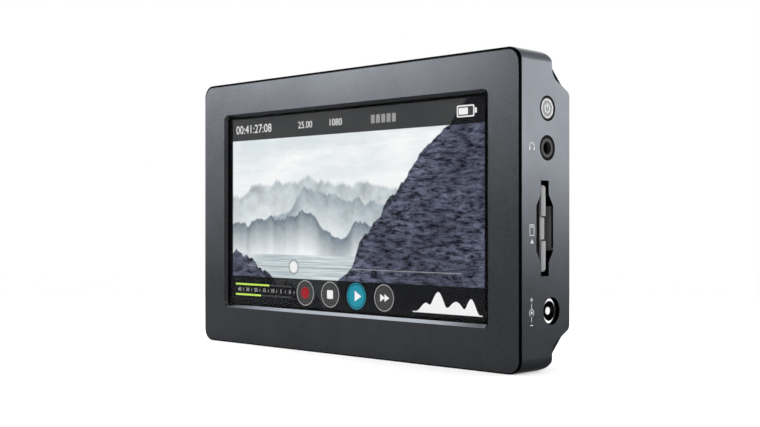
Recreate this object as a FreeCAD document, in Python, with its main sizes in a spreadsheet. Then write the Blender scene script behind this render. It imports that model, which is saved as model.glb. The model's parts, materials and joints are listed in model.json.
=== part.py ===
import FreeCAD, Part
import Sketcher
import math
import os

V = FreeCAD.Vector

# Driving dimensions of the recording monitor, in millimetres
SIZES = (
    # outline of the closed case
    ("body_width", 137.7),
    ("body_height", 88.6),
    ("rear_step", 8.3),
    ("corner_radius", 4.0),
    ("rear_round", 3.5),
    ("cove_offset", 6.9),
    ("rear_offset", 11.1),
    ("cove_radius", 4.0),
    ("crest_radius", 2.0),
    ("wall", 1.8),
    ("slope_wall", 2.0),
    ("side_edge", 0.4),
    # front bezel and its window
    ("bezel_rim", 0.6),
    ("bezel_core", 2.2),
    ("bezel_edge", 0.35),
    ("seam_gap", 0.3),
    ("nest_gap", 0.15),
    ("frame_side", 10.85),
    ("frame_bottom", 12.0),
    ("frame_top", 10.75),
    ("window_bevel", 0.95),
    ("window_lip", 1.0),
    ("window_radius", 0.9),
    ("lug_width", 10.0),
    ("lug_height", 3.4),
    ("lug_length", 7.0),
    ("lug_inset", 22.85),
    ("lug_screw_depth", 5.8),
    ("boss_inset", 2.4),
    ("boss_radius", 2.2),
    # display stack behind the window
    ("gasket_thickness", 0.1),
    ("gasket_margin", 0.3),
    ("glass_lap", 3.3),
    ("glass_thickness", 0.7),
    ("glass_gap", 0.2),
    ("glass_radius", 1.5),
    ("bond_gap", 0.1),
    ("panel_inset", 1.5),
    ("panel_thickness", 1.4),
    ("backlight_margin", 0.6),
    ("backlight_thickness", 2.0),
    ("chassis_margin", 1.2),
    ("chassis_side_gap", 1.55),
    ("chassis_sheet", 0.6),
    ("chassis_lip", 1.2),
    # main board and what stands on it
    ("standoff_length", 2.1),
    ("board_thickness", 1.6),
    ("component_room", 6.4),
    ("board_side_gap", 1.75),
    ("board_end_gap", 8.2),
    ("standoff_side", 17.3),
    ("standoff_end", 4.2),
    ("service_gap", 3.4),
    ("standoff_radius", 2.2),
    ("chip_width", 23.0),
    ("chip_thickness", 1.8),
    ("pad_thickness", 0.3),
    ("sink_width", 40.0),
    ("sink_base", 1.0),
    ("sink_fin_height", 2.8),
    ("sink_fin", 0.8),
    ("memory_width", 7.0),
    ("memory_height", 11.0),
    ("memory_thickness", 1.1),
    ("flex_width", 24.0),
    ("flex_thickness", 0.15),
    ("flex_bend", 0.8),
    # blower
    ("fan_thickness", 5.8),
    ("fan_wall", 0.8),
    ("fan_rim", 1.85),
    ("fan_inlet_lip", 4.7),
    ("fan_tip_gap", 0.8),
    ("fan_post", 1.2),
    ("fan_bore_gap", 0.05),
    ("fan_hub", 6.5),
    ("fan_blade", 0.6),
    ("fan_float", 0.4),
    # right side: power button, headphone socket, card slot, power inlet
    ("flush_gap", 0.1),
    ("inlet_clear", 12.75),
    ("slot_clear", 2.2),
    ("slot_spare", 3.65),
    ("jack_clear", 1.25),
    ("jack_spare", 4.25),
    ("button_clear", 0.5),
    ("button_spare", 3.4),
    ("right_top_clear", 8.7),
    ("right_top_spare", 3.9),
    ("button_axis", 2.95),
    ("button_radius", 2.95),
    ("button_travel", 0.7),
    ("button_flange", 0.6),
    ("collar_inner", 3.05),
    ("collar_outer", 3.5),
    ("fit_gap", 0.05),
    ("plunger_radius", 1.2),
    ("switch_width", 6.0),
    ("switch_length", 4.7),
    ("plunger_reach", 2.4),
    ("jack_axis", 2.86),
    ("jack_nose", 3.5),
    ("jack_bore", 1.8),
    ("jack_sleeve_radius", 2.65),
    ("jack_sleeve_length", 1.3),
    ("jack_bore_length", 14.0),
    ("jack_width", 6.4),
    ("jack_length", 14.8),
    ("slot_axis", 1.64),
    ("slot_end_gap", 1.15),
    ("slot_width", 3.7),
    ("notch_width", 7.8),
    ("notch_outer", 18.8),
    ("notch_inner", 12.4),
    ("card_width", 24.0),
    ("card_length", 32.0),
    ("card_thickness", 2.1),
    ("card_recess", 0.4),
    ("card_corner", 4.0),
    ("card_grip", 6.2),
    ("card_push", 1.0),
    ("card_side_gap", 0.2),
    ("card_face_gap", 0.1),
    ("socket_floor", 0.4),
    ("socket_rim", 1.8),
    ("socket_shell", 0.25),
    ("liner_thickness", 0.75),
    ("liner_margin", 2.4),
    ("inlet_radius", 3.85),
    ("inlet_body", 9.6),
    ("inlet_length", 13.6),
    ("inlet_recess", 0.9),
    ("barrel_outer", 3.4),
    ("barrel_inner", 2.75),
    ("barrel_length", 8.0),
    ("pin_radius", 1.05),
    # left side: two digital and two coaxial video sockets
    ("video_low_clear", 9.3),
    ("video_low_spare", 9.2),
    ("socket_clear", 0.8),
    ("video_spare", 3.7),
    ("coax_low_spare", 4.0),
    ("coax_spare", 4.3),
    ("left_top_clear", 9.6),
    ("left_top_spare", 3.3),
    ("video_width", 15.0),
    ("video_height", 5.8),
    ("video_length", 11.6),
    ("video_shell", 0.4),
    ("video_corner", 1.6),
    ("video_tongue_width", 10.8),
    ("video_tongue", 1.1),
    ("coax_axis", 3.3),
    ("coax_outer", 3.2),
    ("coax_inner", 2.4),
    ("coax_pin", 0.5),
    ("coax_length", 11.0),
    ("side_gap", 0.2),
    # camera threads in the top and bottom face
    ("thread_depth", 7.0),
    ("thread_radius", 2.55),
    ("insert_radius", 3.8),
    ("insert_length", 6.6),
    ("insert_boss", 12.0),
    ("insert_floor", 0.7),
    # battery trays on the rear
    ("bay_side", 17.25),
    ("bay_between", 24.8),
    ("bay_low", 16.6),
    ("bay_top_gap", 14.6),
    ("bay_depth", 6.0),
    ("tray_wall", 1.2),
    ("tray_floor", 1.2),
    ("tray_foot", 3.6),
    ("tray_radius", 2.0),
    ("tray_gap", 0.1),
    ("ear_width", 4.4),
    ("ear_thickness", 1.5),
    ("ear_screw_inset", 8.0),
    ("blade_pitch", 6.0),
    ("blade_width", 0.8),
    ("blade_height", 2.0),
    ("blade_reach", 3.8),
    ("blade_rise", 1.2),
    ("contact_height", 1.7),
    ("latch_width", 14.0),
    ("latch_travel", 1.6),
    ("latch_nose", 1.3),
    ("latch_stem", 8.0),
    ("latch_foot", 12.0),
    ("latch_foot_depth", 2.6),
    ("latch_gap", 0.15),
    ("latch_rib", 0.12),
    ("latch_rib_height", 0.25),
    ("spring_radius", 1.1),
    ("spring_wire", 0.2),
    ("shelf_drop", 2.7),
    ("shelf_arm", 2.4),
    ("shelf_thickness", 0.6),
    # black vent strips in the upper and lower cove
    ("vent_start", 4.7),
    ("vent_reach", 4.7),
    ("vent_side_gap", 0.3),
    ("vent_end_gap", 6.75),
    ("vent_slit", 1.8),
    ("vent_rib", 1.6),
    ("vent_slot_width", 2.6),
    ("vent_clip", 2.0),
    # machine screws
    ("screw_radius", 0.95),
    ("screw_gap", 0.05),
    ("screw_head", 1.9),
    ("screw_head_height", 1.2),
    ("flat_head_height", 0.95),
    ("screw_socket", 0.85),
    ("screw_socket_depth", 0.6),
    ("small_screw", 0.7),
    ("small_head", 1.5),
    ("small_head_height", 0.9),
)
VENT_SLOTS = 3
SLITS_PER_SLOT = 9
CLIP_STEPS = 2.5
SINK_FINS = 11
FAN_BLADES = 11
CONTACT_BLADES = 4
SPRING_TURNS = 4
LATCH_RIBS = 3

doc = FreeCAD.newDocument("recording_monitor")
sheet = doc.addObject("Spreadsheet::Sheet", "Sizes")
for row, (alias, number) in enumerate(SIZES, 1):
    sheet.set("A%d" % row, alias)
    sheet.set("B%d" % row, str(number))
    sheet.setAlias("B%d" % row, alias)
doc.recompute()


class Size:
    """A length that carries its number and the sheet expression that gives it."""

    def __init__(self, value, text):
        self.value = float(value)
        self.text = text

    def __float__(self):
        return self.value

    def __neg__(self):
        return Size(-self.value, "-(%s)" % self.text)

    def __add__(self, other):
        other = size(other)
        return Size(self.value + other.value, "(%s + %s)" % (self.text, other.text))

    def __sub__(self, other):
        other = size(other)
        return Size(self.value - other.value, "(%s - %s)" % (self.text, other.text))

    def __mul__(self, other):
        other = size(other)
        return Size(self.value * other.value, "(%s * %s)" % (self.text, other.text))

    def __truediv__(self, other):
        other = size(other)
        return Size(self.value / other.value, "(%s / %s)" % (self.text, other.text))

    __radd__ = __add__

    def __rmul__(self, other):
        return self * other

    def __rsub__(self, other):
        return size(other) - self


def size(value):
    """A plain number becomes a size; a size stays as it is."""
    if isinstance(value, Size):
        return value
    return Size(value, "(%r)" % float(value))


class Sheet:
    """Sizes by name, each bound to its cell."""


S = Sheet()
for alias, number in SIZES:
    setattr(S, alias, Size(sheet.get(alias), "Sizes.%s" % alias))

def derived(alias, value):
    """Adds a cell worked out from other cells, under its own name."""
    row = sum(cell.startswith("A") for cell in sheet.getUsedCells()) + 1
    sheet.set("A%d" % row, alias)
    sheet.set("B%d" % row, "=" + value.text.replace("Sizes.", ""))
    sheet.setAlias("B%d" % row, alias)
    doc.recompute()
    setattr(S, alias, Size(sheet.get(alias), "Sizes.%s" % alias))


def stacked(top_clear, top_spare, *items):
    """Names the heights of items up a side: each keeps its clearance, and the spare gaps share the rest."""
    taken = sum(clear + extent for name, clear, spare, extent in items) + top_clear
    spares = sum(spare for name, clear, spare, extent in items) + top_spare
    stretch = (S.body_height - taken) / spares
    low = size(0)
    for name, clear, spare, extent in items:
        low = low + clear + spare * stretch
        derived(name, low + extent / 2)
        low = low + extent


# Sizes of the window and of the display stack behind it
derived("window_width", S.body_width - 2 * S.frame_side)
derived("window_height", S.body_height - S.frame_bottom - S.frame_top)
derived("window_rise", S.frame_bottom + S.window_height / 2)
derived("opening_width", S.window_width - 2 * S.window_bevel)
derived("opening_height", S.window_height - 2 * S.window_bevel)
derived("glass_width", S.opening_width + 2 * S.glass_lap)
derived("glass_height", S.opening_height + 2 * S.glass_lap)
derived("panel_width", S.glass_width - 2 * S.panel_inset)
derived("panel_height", S.glass_height - 2 * S.panel_inset)
derived("backlight_width", S.panel_width + 2 * S.backlight_margin)
derived("backlight_height", S.panel_height + 2 * S.backlight_margin)
derived("inner_width", S.body_width - 2 * S.wall)
derived("chassis_width", S.inner_width - 2 * S.chassis_side_gap)
derived("chassis_height", S.backlight_height + 2 * S.chassis_margin)
derived("boss_offset", S.chassis_width / 2 - S.boss_inset)
derived("boss_rise", S.chassis_height / 2 - S.boss_inset)
derived("lug_offset", S.body_width / 2 - S.lug_inset)

# Depths from the front face, stacked from the pieces between front and rear
derived("glass_front", S.window_lip + S.gasket_thickness)
derived("panel_front", S.glass_front + S.glass_thickness + S.bond_gap)
derived("backlight_front", S.panel_front + S.panel_thickness)
derived("chassis_front", S.backlight_front + S.backlight_thickness)
derived("chassis_rear", S.chassis_front + S.chassis_sheet)
derived("board_front", S.chassis_rear + S.standoff_length)
derived("board_rear", S.board_front + S.board_thickness)
derived("tray_front", S.board_rear + S.component_room)
derived("bay_floor", S.tray_front + S.tray_floor)
derived("body_depth", S.bay_floor + S.bay_depth)
derived("flange_depth", S.body_depth - S.rear_step)
derived("rear_inner", S.body_depth - S.wall)

# Places on the main board
derived("board_width", S.inner_width - 2 * S.board_side_gap)
derived("board_low", S.board_end_gap)
derived("board_high", S.body_height - S.board_end_gap)
derived("standoff_offset", S.board_width / 2 - S.standoff_side)
derived("standoff_low", S.board_low + S.standoff_end)
derived("standoff_high", S.board_high - S.standoff_end)
derived("insert_room", S.insert_length + S.flush_gap)
derived("insert_reach", S.insert_room + S.insert_floor)
derived("service_height", S.body_height / 2 - S.insert_reach - 2 * S.service_gap)
derived("chip_rise", S.insert_reach + S.service_gap + S.service_height / 2)
derived("sink_height", S.service_height)
derived("fan_width", S.service_height)
derived("fan_rise", S.body_height - S.chip_rise)
derived("fan_chamber", S.fan_width / 2 - S.fan_rim)
derived("fan_inlet", S.fan_chamber - S.fan_inlet_lip)
derived("fan_blade_tip", S.fan_chamber - S.fan_tip_gap)

# Places of the sockets and controls on the right and left side
derived("slot_length", S.card_width + 2 * S.slot_end_gap)
derived("button_depth", S.board_rear + S.button_axis)
derived("jack_depth", S.board_rear + S.jack_axis)
derived("slot_depth", S.board_rear + S.slot_axis)
derived("inlet_depth", S.board_rear + S.inlet_body / 2)
derived("coax_depth", S.board_rear + S.coax_axis)
stacked(S.right_top_clear, S.right_top_spare,
        ("inlet_rise", S.inlet_clear, size(0), 2 * S.inlet_radius),
        ("slot_rise", S.slot_clear, S.slot_spare, S.slot_length),
        ("jack_rise", S.jack_clear, S.jack_spare, 2 * S.jack_nose),
        ("button_rise", S.button_clear, S.button_spare, 2 * S.collar_outer))
stacked(S.left_top_clear, S.left_top_spare,
        ("video_low_rise", S.video_low_clear, S.video_low_spare, S.video_width),
        ("video_high_rise", S.socket_clear, S.video_spare, S.video_width),
        ("coax_low_rise", S.socket_clear, S.coax_low_spare, 2 * S.coax_outer),
        ("coax_high_rise", S.socket_clear, S.coax_spare, 2 * S.coax_outer))

# Places of the battery trays and vents
derived("bay_width", (S.body_width - S.bay_between) / 2 - S.bay_side)
derived("bay_offset", (S.bay_between + S.bay_width) / 2)
derived("bay_height", S.body_height - S.bay_low - S.bay_top_gap)
derived("spring_shelf", S.bay_low - S.tray_foot - S.shelf_drop)
derived("vent_pitch", (S.body_width - 2 * S.vent_end_gap) / (VENT_SLOTS * SLITS_PER_SLOT))

nodes = []


def node(item):
    """Marks an object as a finished piece that gets its own file."""
    nodes.append(item)
    return item


def bind(item, prop, value):
    """Ties a property to the sheet."""
    item.setExpression(prop, size(value).text)


def deep(depth):
    """Place along Y of a depth behind the front face."""
    return size(depth) - S.body_depth / 2


def top(offset):
    """Height of a place that lies an offset below the top face."""
    return S.body_height - offset


def around(centre, width):
    """Low and high end of a width about a centre."""
    return size(centre) - size(width) / 2, size(centre) + size(width) / 2


TURNS = {
    "X": FreeCAD.Rotation(V(0, 1, 0), 90),
    "Y": FreeCAD.Rotation(V(1, 0, 0), -90),
    "Z": FreeCAD.Rotation(),
}


def set_down(item, x, y, z):
    """Ties the place of an object to the sheet."""
    bind(item, "Placement.Base.x", x)
    bind(item, "Placement.Base.y", y)
    bind(item, "Placement.Base.z", z)


def box(label, x, y, z):
    """A block between low and high places on the three axes."""
    item = doc.addObject("Part::Box", label)
    bind(item, "Length", x[1] - x[0])
    bind(item, "Width", y[1] - y[0])
    bind(item, "Height", z[1] - z[0])
    set_down(item, x[0], y[0], z[0])
    return item


def axis_place(axis, low, centre):
    """Start point of a round piece along an axis, with the two other places in X, Y, Z order."""
    if axis == "X":
        return low, centre[0], centre[1]
    if axis == "Y":
        return centre[0], low, centre[1]
    return centre[0], centre[1], low


def rod(label, axis, span, centre, radius):
    """A round bar along an axis."""
    item = doc.addObject("Part::Cylinder", label)
    bind(item, "Radius", radius)
    bind(item, "Height", span[1] - span[0])
    item.Placement = FreeCAD.Placement(V(0, 0, 0), TURNS[axis])
    set_down(item, *axis_place(axis, span[0], centre))
    return item


def taper(label, axis, span, centre, low_radius, high_radius):
    """A cone frustum along an axis."""
    item = doc.addObject("Part::Cone", label)
    bind(item, "Radius1", low_radius)
    bind(item, "Radius2", high_radius)
    bind(item, "Height", span[1] - span[0])
    item.Placement = FreeCAD.Placement(V(0, 0, 0), TURNS[axis])
    set_down(item, *axis_place(axis, span[0], centre))
    return item


def fuse(label, parts):
    """One solid out of parts that overlap."""
    item = doc.addObject("Part::MultiFuse", label)
    item.Shapes = parts
    item.Refine = True
    return item


def cut(label, base, tools):
    """A base with its cutters taken away."""
    cutter = tools[0]
    if len(tools) > 1:
        cutter = fuse(label + "_cutters", tools)
    item = doc.addObject("Part::Cut", label)
    item.Base = base
    item.Tool = cutter
    item.Refine = True
    return item


def group(label, parts):
    """Separate equal solids in one piece list entry."""
    item = doc.addObject("Part::Compound", label)
    item.Links = parts
    return item


def tube(label, axis, span, centre, outer, inner):
    """A round sleeve."""
    return cut(label, rod(label + "_outside", axis, span, centre, outer),
               [rod(label + "_bore", axis, span, centre, inner)])


def lines_along(shape, axis, test=None):
    """Numbers of the straight edges along an axis that pass a test on their midpoint."""
    found = []
    for number, edge in enumerate(shape.Edges, 1):
        if not isinstance(edge.Curve, Part.Line):
            continue
        if abs(edge.Curve.Direction.dot(axis)) < 0.999:
            continue
        if test is None or test(edge.CenterOfMass):
            found.append(number)
    return found


def rounded(label, base, axis, radius, test=None):
    """A block whose edges along an axis are rounded."""
    doc.recompute()
    item = doc.addObject("Part::Fillet", label)
    item.Base = base
    item.Edges = [(number, float(radius), float(radius)) for number in lines_along(base.Shape, axis, test)]
    return item


def new_body(label):
    """An empty design body."""
    body = doc.addObject("PartDesign::Body", label)
    body.Label = label
    return body


def sketch_on(body, label, role, place):
    """A sketch on an origin plane of the body, moved to a place along the axis across that plane."""
    sketch = body.newObject("Sketcher::SketchObject", label)
    plane = [item for item in body.Origin.OriginFeatures if item.Role == role][0]
    sketch.AttachmentSupport = [(plane, "")]
    sketch.MapMode = "FlatFace"
    shift = size(place)
    if role == "XZ_Plane":
        shift = -shift
    bind(sketch, "AttachmentOffset.Base.z", shift)
    return sketch


def hold(sketch, geo, point, x, y):
    """Ties a sketch point to the sheet by its two places."""
    for kind, value in (("DistanceX", size(x)), ("DistanceY", size(y))):
        index = sketch.addConstraint(Sketcher.Constraint(kind, -1, 1, geo, point, value.value))
        sketch.setExpression("Constraints[%d]" % index, value.text)


def polygon(sketch, points):
    """A closed outline through points tied to the sheet."""
    first = sketch.GeometryCount
    count = len(points)
    for index in range(count):
        a = points[index]
        b = points[(index + 1) % count]
        sketch.addGeometry(Part.LineSegment(V(float(a[0]), float(a[1]), 0), V(float(b[0]), float(b[1]), 0)))
    for index in range(count):
        following = first + (index + 1) % count
        sketch.addConstraint(Sketcher.Constraint("Coincident", first + index, 2, following, 1))
    for index, (x, y) in enumerate(points):
        hold(sketch, first + index, 1, x, y)


def rectangle(sketch, x, y):
    """A rectangle between low and high places."""
    polygon(sketch, [(x[0], y[0]), (x[1], y[0]), (x[1], y[1]), (x[0], y[1])])


def circle(sketch, x, y, radius):
    """A circle with centre and radius tied to the sheet."""
    radius = size(radius)
    geo = sketch.addGeometry(Part.Circle(V(float(x), float(y), 0), V(0, 0, 1), radius.value))
    hold(sketch, geo, 3, x, y)
    index = sketch.addConstraint(Sketcher.Constraint("Radius", geo, radius.value))
    sketch.setExpression("Constraints[%d]" % index, radius.text)


def pad(body, sketch, length, label):
    """Material from the sketch towards higher places."""
    item = body.newObject("PartDesign::Pad", label)
    item.Profile = sketch
    item.Reversed = sketch.AttachmentSupport[0][0].Role == "XZ_Plane"
    bind(item, "Length", length)
    body.Tip = item
    doc.recompute()
    return item


def pocket(body, sketch, length, label):
    """A cut from the sketch towards higher places."""
    before = body.Shape.Volume
    item = body.newObject("PartDesign::Pocket", label)
    item.Profile = sketch
    item.Reversed = sketch.AttachmentSupport[0][0].Role != "XZ_Plane"
    bind(item, "Length", length)
    body.Tip = item
    doc.recompute()
    if body.Shape.Volume > before - 0.01:
        raise RuntimeError("%s cuts nothing" % label)
    return item


def dress(body, kind, label, edges, prop, value):
    """A fillet or chamfer on numbered edges of the body so far."""
    base = body.Tip
    item = body.newObject("PartDesign::" + kind, label)
    item.Base = (base, ["Edge%d" % number for number in edges])
    bind(item, prop, value)
    body.Tip = item
    doc.recompute()
    return item


def prism(label, role, points, span):
    """A design body with one padded outline between low and high places."""
    body = new_body(label)
    sketch = sketch_on(body, label + "_outline", role, span[0])
    polygon(sketch, points)
    pad(body, sketch, span[1] - span[0], label + "_pad")
    return body


X_AXIS = V(1, 0, 0)
Y_AXIS = V(0, 1, 0)
Z_AXIS = V(0, 0, 1)

# Shared places
half_width = S.body_width / 2
full_x = (-half_width, half_width)
inner_x = S.inner_width / 2
housing_front = S.bezel_rim + S.seam_gap
nest = S.wall + S.nest_gap
lug_signs = ((-1, 0), (1, 0), (-1, 1), (1, 1))
corner_signs = ((-1, -1), (1, -1), (-1, 1), (1, 1))


def lug_place(side, upper):
    """Low and high ends of a bezel lug across and in height."""
    across = around(side * S.lug_offset, S.lug_width)
    if upper:
        return across, (top(nest + S.lug_height), top(nest))
    return across, (nest, nest + S.lug_height)


def boss_place(side, up):
    """Centre of a chassis boss on the bezel."""
    return side * S.boss_offset, S.window_rise + up * S.boss_rise


def window_sketch(body, label, place, width, height):
    """A rectangle about the window centre."""
    sketch = sketch_on(body, label, "XZ_Plane", place)
    rectangle(sketch, around(0, width), around(S.window_rise, height))
    return sketch


def on_front_plane(point):
    """True for a midpoint on the front face."""
    return abs(point.y - float(deep(0))) < 0.001


# Front bezel: thin rim over the housing edge, nested core, bevelled window, lugs and bosses
bezel = new_body("front_bezel")
rim_sketch = sketch_on(bezel, "bezel_rim_outline", "XZ_Plane", deep(0))
rectangle(rim_sketch, full_x, (size(0), S.body_height))
rim_pad = pad(bezel, rim_sketch, S.bezel_rim, "bezel_rim_pad")
dress(bezel, "Fillet", "bezel_corners", lines_along(bezel.Shape, Y_AXIS), "Radius", S.corner_radius)
core_sketch = sketch_on(bezel, "bezel_core_outline", "XZ_Plane", deep(S.bezel_rim))
rectangle(core_sketch, (-half_width + nest, half_width - nest), (nest, top(nest)))
pad(bezel, core_sketch, S.bezel_core - S.bezel_rim, "bezel_core_pad")
dress(bezel, "Fillet", "bezel_core_corners",
      lines_along(bezel.Shape, Y_AXIS, lambda p: p.y > float(deep(S.bezel_rim))),
      "Radius", S.corner_radius - S.wall)
pocket(bezel, window_sketch(bezel, "window_outline", deep(0), S.opening_width, S.opening_height),
       S.bezel_core, "window_cut")
dress(bezel, "Fillet", "window_corners",
      lines_along(bezel.Shape, Y_AXIS,
                  lambda p: abs(abs(p.x) - float(S.opening_width) / 2) < 0.01
                  and abs(abs(p.z - float(S.window_rise)) - float(S.opening_height) / 2) < 0.01),
      "Radius", S.window_radius)
dress(bezel, "Chamfer", "window_bevels",
      lines_along(bezel.Shape, X_AXIS, lambda p: on_front_plane(p)
                  and abs(p.z - float(S.window_rise)) < float(S.window_height) / 2),
      "Size", S.window_bevel)
dress(bezel, "Fillet", "bezel_edge_round",
      lines_along(bezel.Shape, X_AXIS, lambda p: on_front_plane(p) and p.z < 0.001),
      "Radius", S.bezel_edge)
pocket(bezel, window_sketch(bezel, "glass_rebate_outline", deep(S.window_lip),
                            S.glass_width + 2 * S.glass_gap, S.glass_height + 2 * S.glass_gap),
       S.bezel_core - S.window_lip, "glass_rebate")
lug_sketch = sketch_on(bezel, "lug_outlines", "XZ_Plane", deep(S.bezel_core))
for side, upper in lug_signs:
    rectangle(lug_sketch, *lug_place(side, upper))
pad(bezel, lug_sketch, S.lug_length, "lugs")
boss_sketch = sketch_on(bezel, "boss_outlines", "XZ_Plane", deep(S.bezel_core))
for side, up in corner_signs:
    circle(boss_sketch, *boss_place(side, up), S.boss_radius)
pad(bezel, boss_sketch, S.chassis_front - S.bezel_core, "bosses")
lug_hole_sketch = sketch_on(bezel, "lug_holes_outline", "XY_Plane", 0)
for side in (-1, 1):
    circle(lug_hole_sketch, side * S.lug_offset, deep(S.lug_screw_depth), S.screw_radius + S.screw_gap)
pocket(bezel, lug_hole_sketch, S.body_height, "lug_holes")
boss_hole_sketch = sketch_on(bezel, "boss_holes_outline", "XZ_Plane", deep(S.bezel_core))
for side, up in corner_signs:
    circle(boss_hole_sketch, *boss_place(side, up), S.screw_radius + S.screw_gap)
pocket(bezel, boss_hole_sketch, S.chassis_front - S.bezel_core, "boss_holes")
node(bezel)

# Display stack: gasket, touch glass, panel, backlight, sheet metal chassis
glass_y = (deep(S.glass_front), deep(S.glass_front + S.glass_thickness))
gasket_y = (deep(S.window_lip), deep(S.glass_front))
node(cut("window_gasket",
         box("gasket_sheet", around(0, S.glass_width), gasket_y, around(S.window_rise, S.glass_height)),
         [box("gasket_window", around(0, S.opening_width + 2 * S.gasket_margin), gasket_y,
              around(S.window_rise, S.opening_height + 2 * S.gasket_margin))]))
node(rounded("touch_glass",
             box("glass_sheet", around(0, S.glass_width), glass_y, around(S.window_rise, S.glass_height)),
             Y_AXIS, S.glass_radius))
panel_z = around(S.window_rise, S.panel_height)
node(box("lcd_panel", around(0, S.panel_width), (deep(S.panel_front), deep(S.backlight_front)), panel_z))
node(box("backlight_unit", around(0, S.backlight_width), (deep(S.backlight_front), deep(S.chassis_front)),
         around(S.window_rise, S.backlight_height)))
chassis_z = around(S.window_rise, S.chassis_height)
chassis_y = (deep(S.chassis_front), deep(S.chassis_rear))
lip_y = (deep(S.chassis_front), deep(S.chassis_rear + S.chassis_lip))
chassis_holes = [rod("chassis_hole", "Y", chassis_y, boss_place(side, up), S.screw_radius + S.screw_gap)
                 for side, up in corner_signs]
standoff_places = [(side * S.standoff_offset, height)
                   for side in (-1, 1) for height in (S.standoff_low, S.standoff_high)]
chassis_holes += [rod("standoff_hole", "Y", chassis_y, place, S.screw_radius + S.screw_gap)
                  for place in standoff_places]
lip_x = around(0, S.backlight_width - S.flex_width)
node(cut("display_chassis",
         fuse("chassis_pan", [
             box("chassis_plate", around(0, S.chassis_width), chassis_y, chassis_z),
             box("chassis_low_lip", lip_x, lip_y, (chassis_z[0], chassis_z[0] + S.chassis_sheet)),
             box("chassis_high_lip", lip_x, lip_y, (chassis_z[1] - S.chassis_sheet, chassis_z[1])),
         ]), chassis_holes))

# Main board on standoffs, processor with pad and finned sink, memory chips
board_y = (deep(S.board_front), deep(S.board_rear))
node(cut("main_board",
         box("board_sheet", around(0, S.board_width), board_y, (S.board_low, S.board_high)),
         [rod("board_hole", "Y", board_y, place, S.screw_radius + S.screw_gap) for place in standoff_places]))
node(group("board_standoffs", [
    tube("standoff", "Y", (deep(S.chassis_rear), deep(S.board_front)), place,
         S.standoff_radius, S.screw_radius + S.screw_gap)
    for place in standoff_places]))


def cap_screw(label, axis, head, tip, centre, radius, head_radius):
    """A screw with a flat round head; the head span lies at its low or high end."""
    return fuse(label, [rod(label + "_head", axis, head, centre, head_radius),
                        rod(label + "_shank", axis, tip, centre, radius)])


node(group("board_screws", [
    cap_screw("board_screw", "Y", (deep(S.board_rear), deep(S.board_rear + S.screw_head_height)),
              (deep(S.chassis_front), deep(S.board_rear + S.screw_head_height)), place,
              S.screw_radius, S.screw_head)
    for place in standoff_places]))
node(group("chassis_screws", [
    cap_screw("chassis_screw", "Y", (deep(S.chassis_rear), deep(S.chassis_rear + S.screw_head_height)),
              (deep(S.bezel_core), deep(S.chassis_rear + S.screw_head_height)), boss_place(side, up),
              S.screw_radius, S.screw_head)
    for side, up in corner_signs]))
chip_rear = S.board_rear + S.chip_thickness
pad_rear = chip_rear + S.pad_thickness
sink_rear = pad_rear + S.sink_base
chip_z = around(S.chip_rise, S.chip_width)
node(box("processor_chip", around(0, S.chip_width), (deep(S.board_rear), deep(chip_rear)), chip_z))
node(box("thermal_pad", around(0, S.chip_width), (deep(chip_rear), deep(pad_rear)), chip_z))
sink_z = around(S.chip_rise, S.sink_height)
sink_parts = [box("sink_plate", around(0, S.sink_width), (deep(pad_rear), deep(sink_rear)), sink_z)]
fin_pitch = (S.sink_width - S.sink_fin) / (SINK_FINS - 1)
for index in range(SINK_FINS):
    fin_low = -S.sink_width / 2 + fin_pitch * index
    sink_parts.append(box("sink_rib", (fin_low, fin_low + S.sink_fin),
                          (deep(pad_rear), deep(sink_rear + S.sink_fin_height)), sink_z))
node(fuse("heat_sink", sink_parts))
memory_x = S.chip_width / 2 + S.memory_width / 2 + 2 * S.side_gap
node(group("memory_chips", [
    box("memory_chip", around(side * memory_x, S.memory_width),
        (deep(S.board_rear), deep(S.board_rear + S.memory_thickness)),
        around(S.chip_rise + up * (S.memory_height / 2 + S.side_gap), S.memory_height))
    for side, up in corner_signs]))

# Display flex: down from the panel edge, under the chassis and up to the board connector
flex_x = around(0, S.flex_width)
flex_front = S.panel_front + S.panel_thickness / 2
flex_rear = S.board_front - 4 * S.flex_thickness
bend_rise = chassis_z[0] - S.flex_bend
bend_outer = S.flex_bend + S.flex_thickness
flex_low = bend_rise - bend_outer
flex_high = bend_rise + 8 * S.flex_bend
connector_low = flex_high - 2 * S.flex_bend


def flex_bend_ring(label, depth, low_x_side):
    """A quarter ring of the flex about a bend line across the width."""
    ring = tube(label, "X", flex_x, (deep(depth), bend_rise), bend_outer, S.flex_bend)
    if low_x_side:
        y = (deep(depth - bend_outer), deep(depth))
    else:
        y = (deep(depth), deep(depth + bend_outer))
    quarter = doc.addObject("Part::Common", label + "_quarter")
    quarter.Base = ring
    quarter.Tool = box(label + "_field", flex_x, y, (flex_low, bend_rise))
    return quarter


bend_front = flex_front + bend_outer
bend_rear = flex_rear - bend_outer
node(fuse("lcd_flex", [
    box("flex_front_leg", flex_x, (deep(flex_front), deep(flex_front + S.flex_thickness)),
        (bend_rise, panel_z[0])),
    flex_bend_ring("flex_front_bend", bend_front, True),
    box("flex_run", flex_x, (deep(bend_front), deep(bend_rear)), (flex_low, flex_low + S.flex_thickness)),
    flex_bend_ring("flex_rear_bend", bend_rear, False),
    box("flex_rear_leg", flex_x, (deep(flex_rear - S.flex_thickness), deep(flex_rear)),
        (bend_rise, flex_high)),
]))
connector_z = (connector_low, flex_high + S.flex_bend)
node(cut("flex_connector",
         box("connector_block", around(0, S.flex_width + 4 * S.flex_bend),
             (deep(flex_rear - 3 * S.flex_thickness), deep(S.board_front)), connector_z),
         [box("connector_mouth", around(0, S.flex_width + S.fit_gap),
              (deep(flex_rear - S.flex_thickness - S.fit_gap), deep(flex_rear + S.fit_gap)),
              (connector_low, flex_high + S.fit_gap))]))

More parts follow.
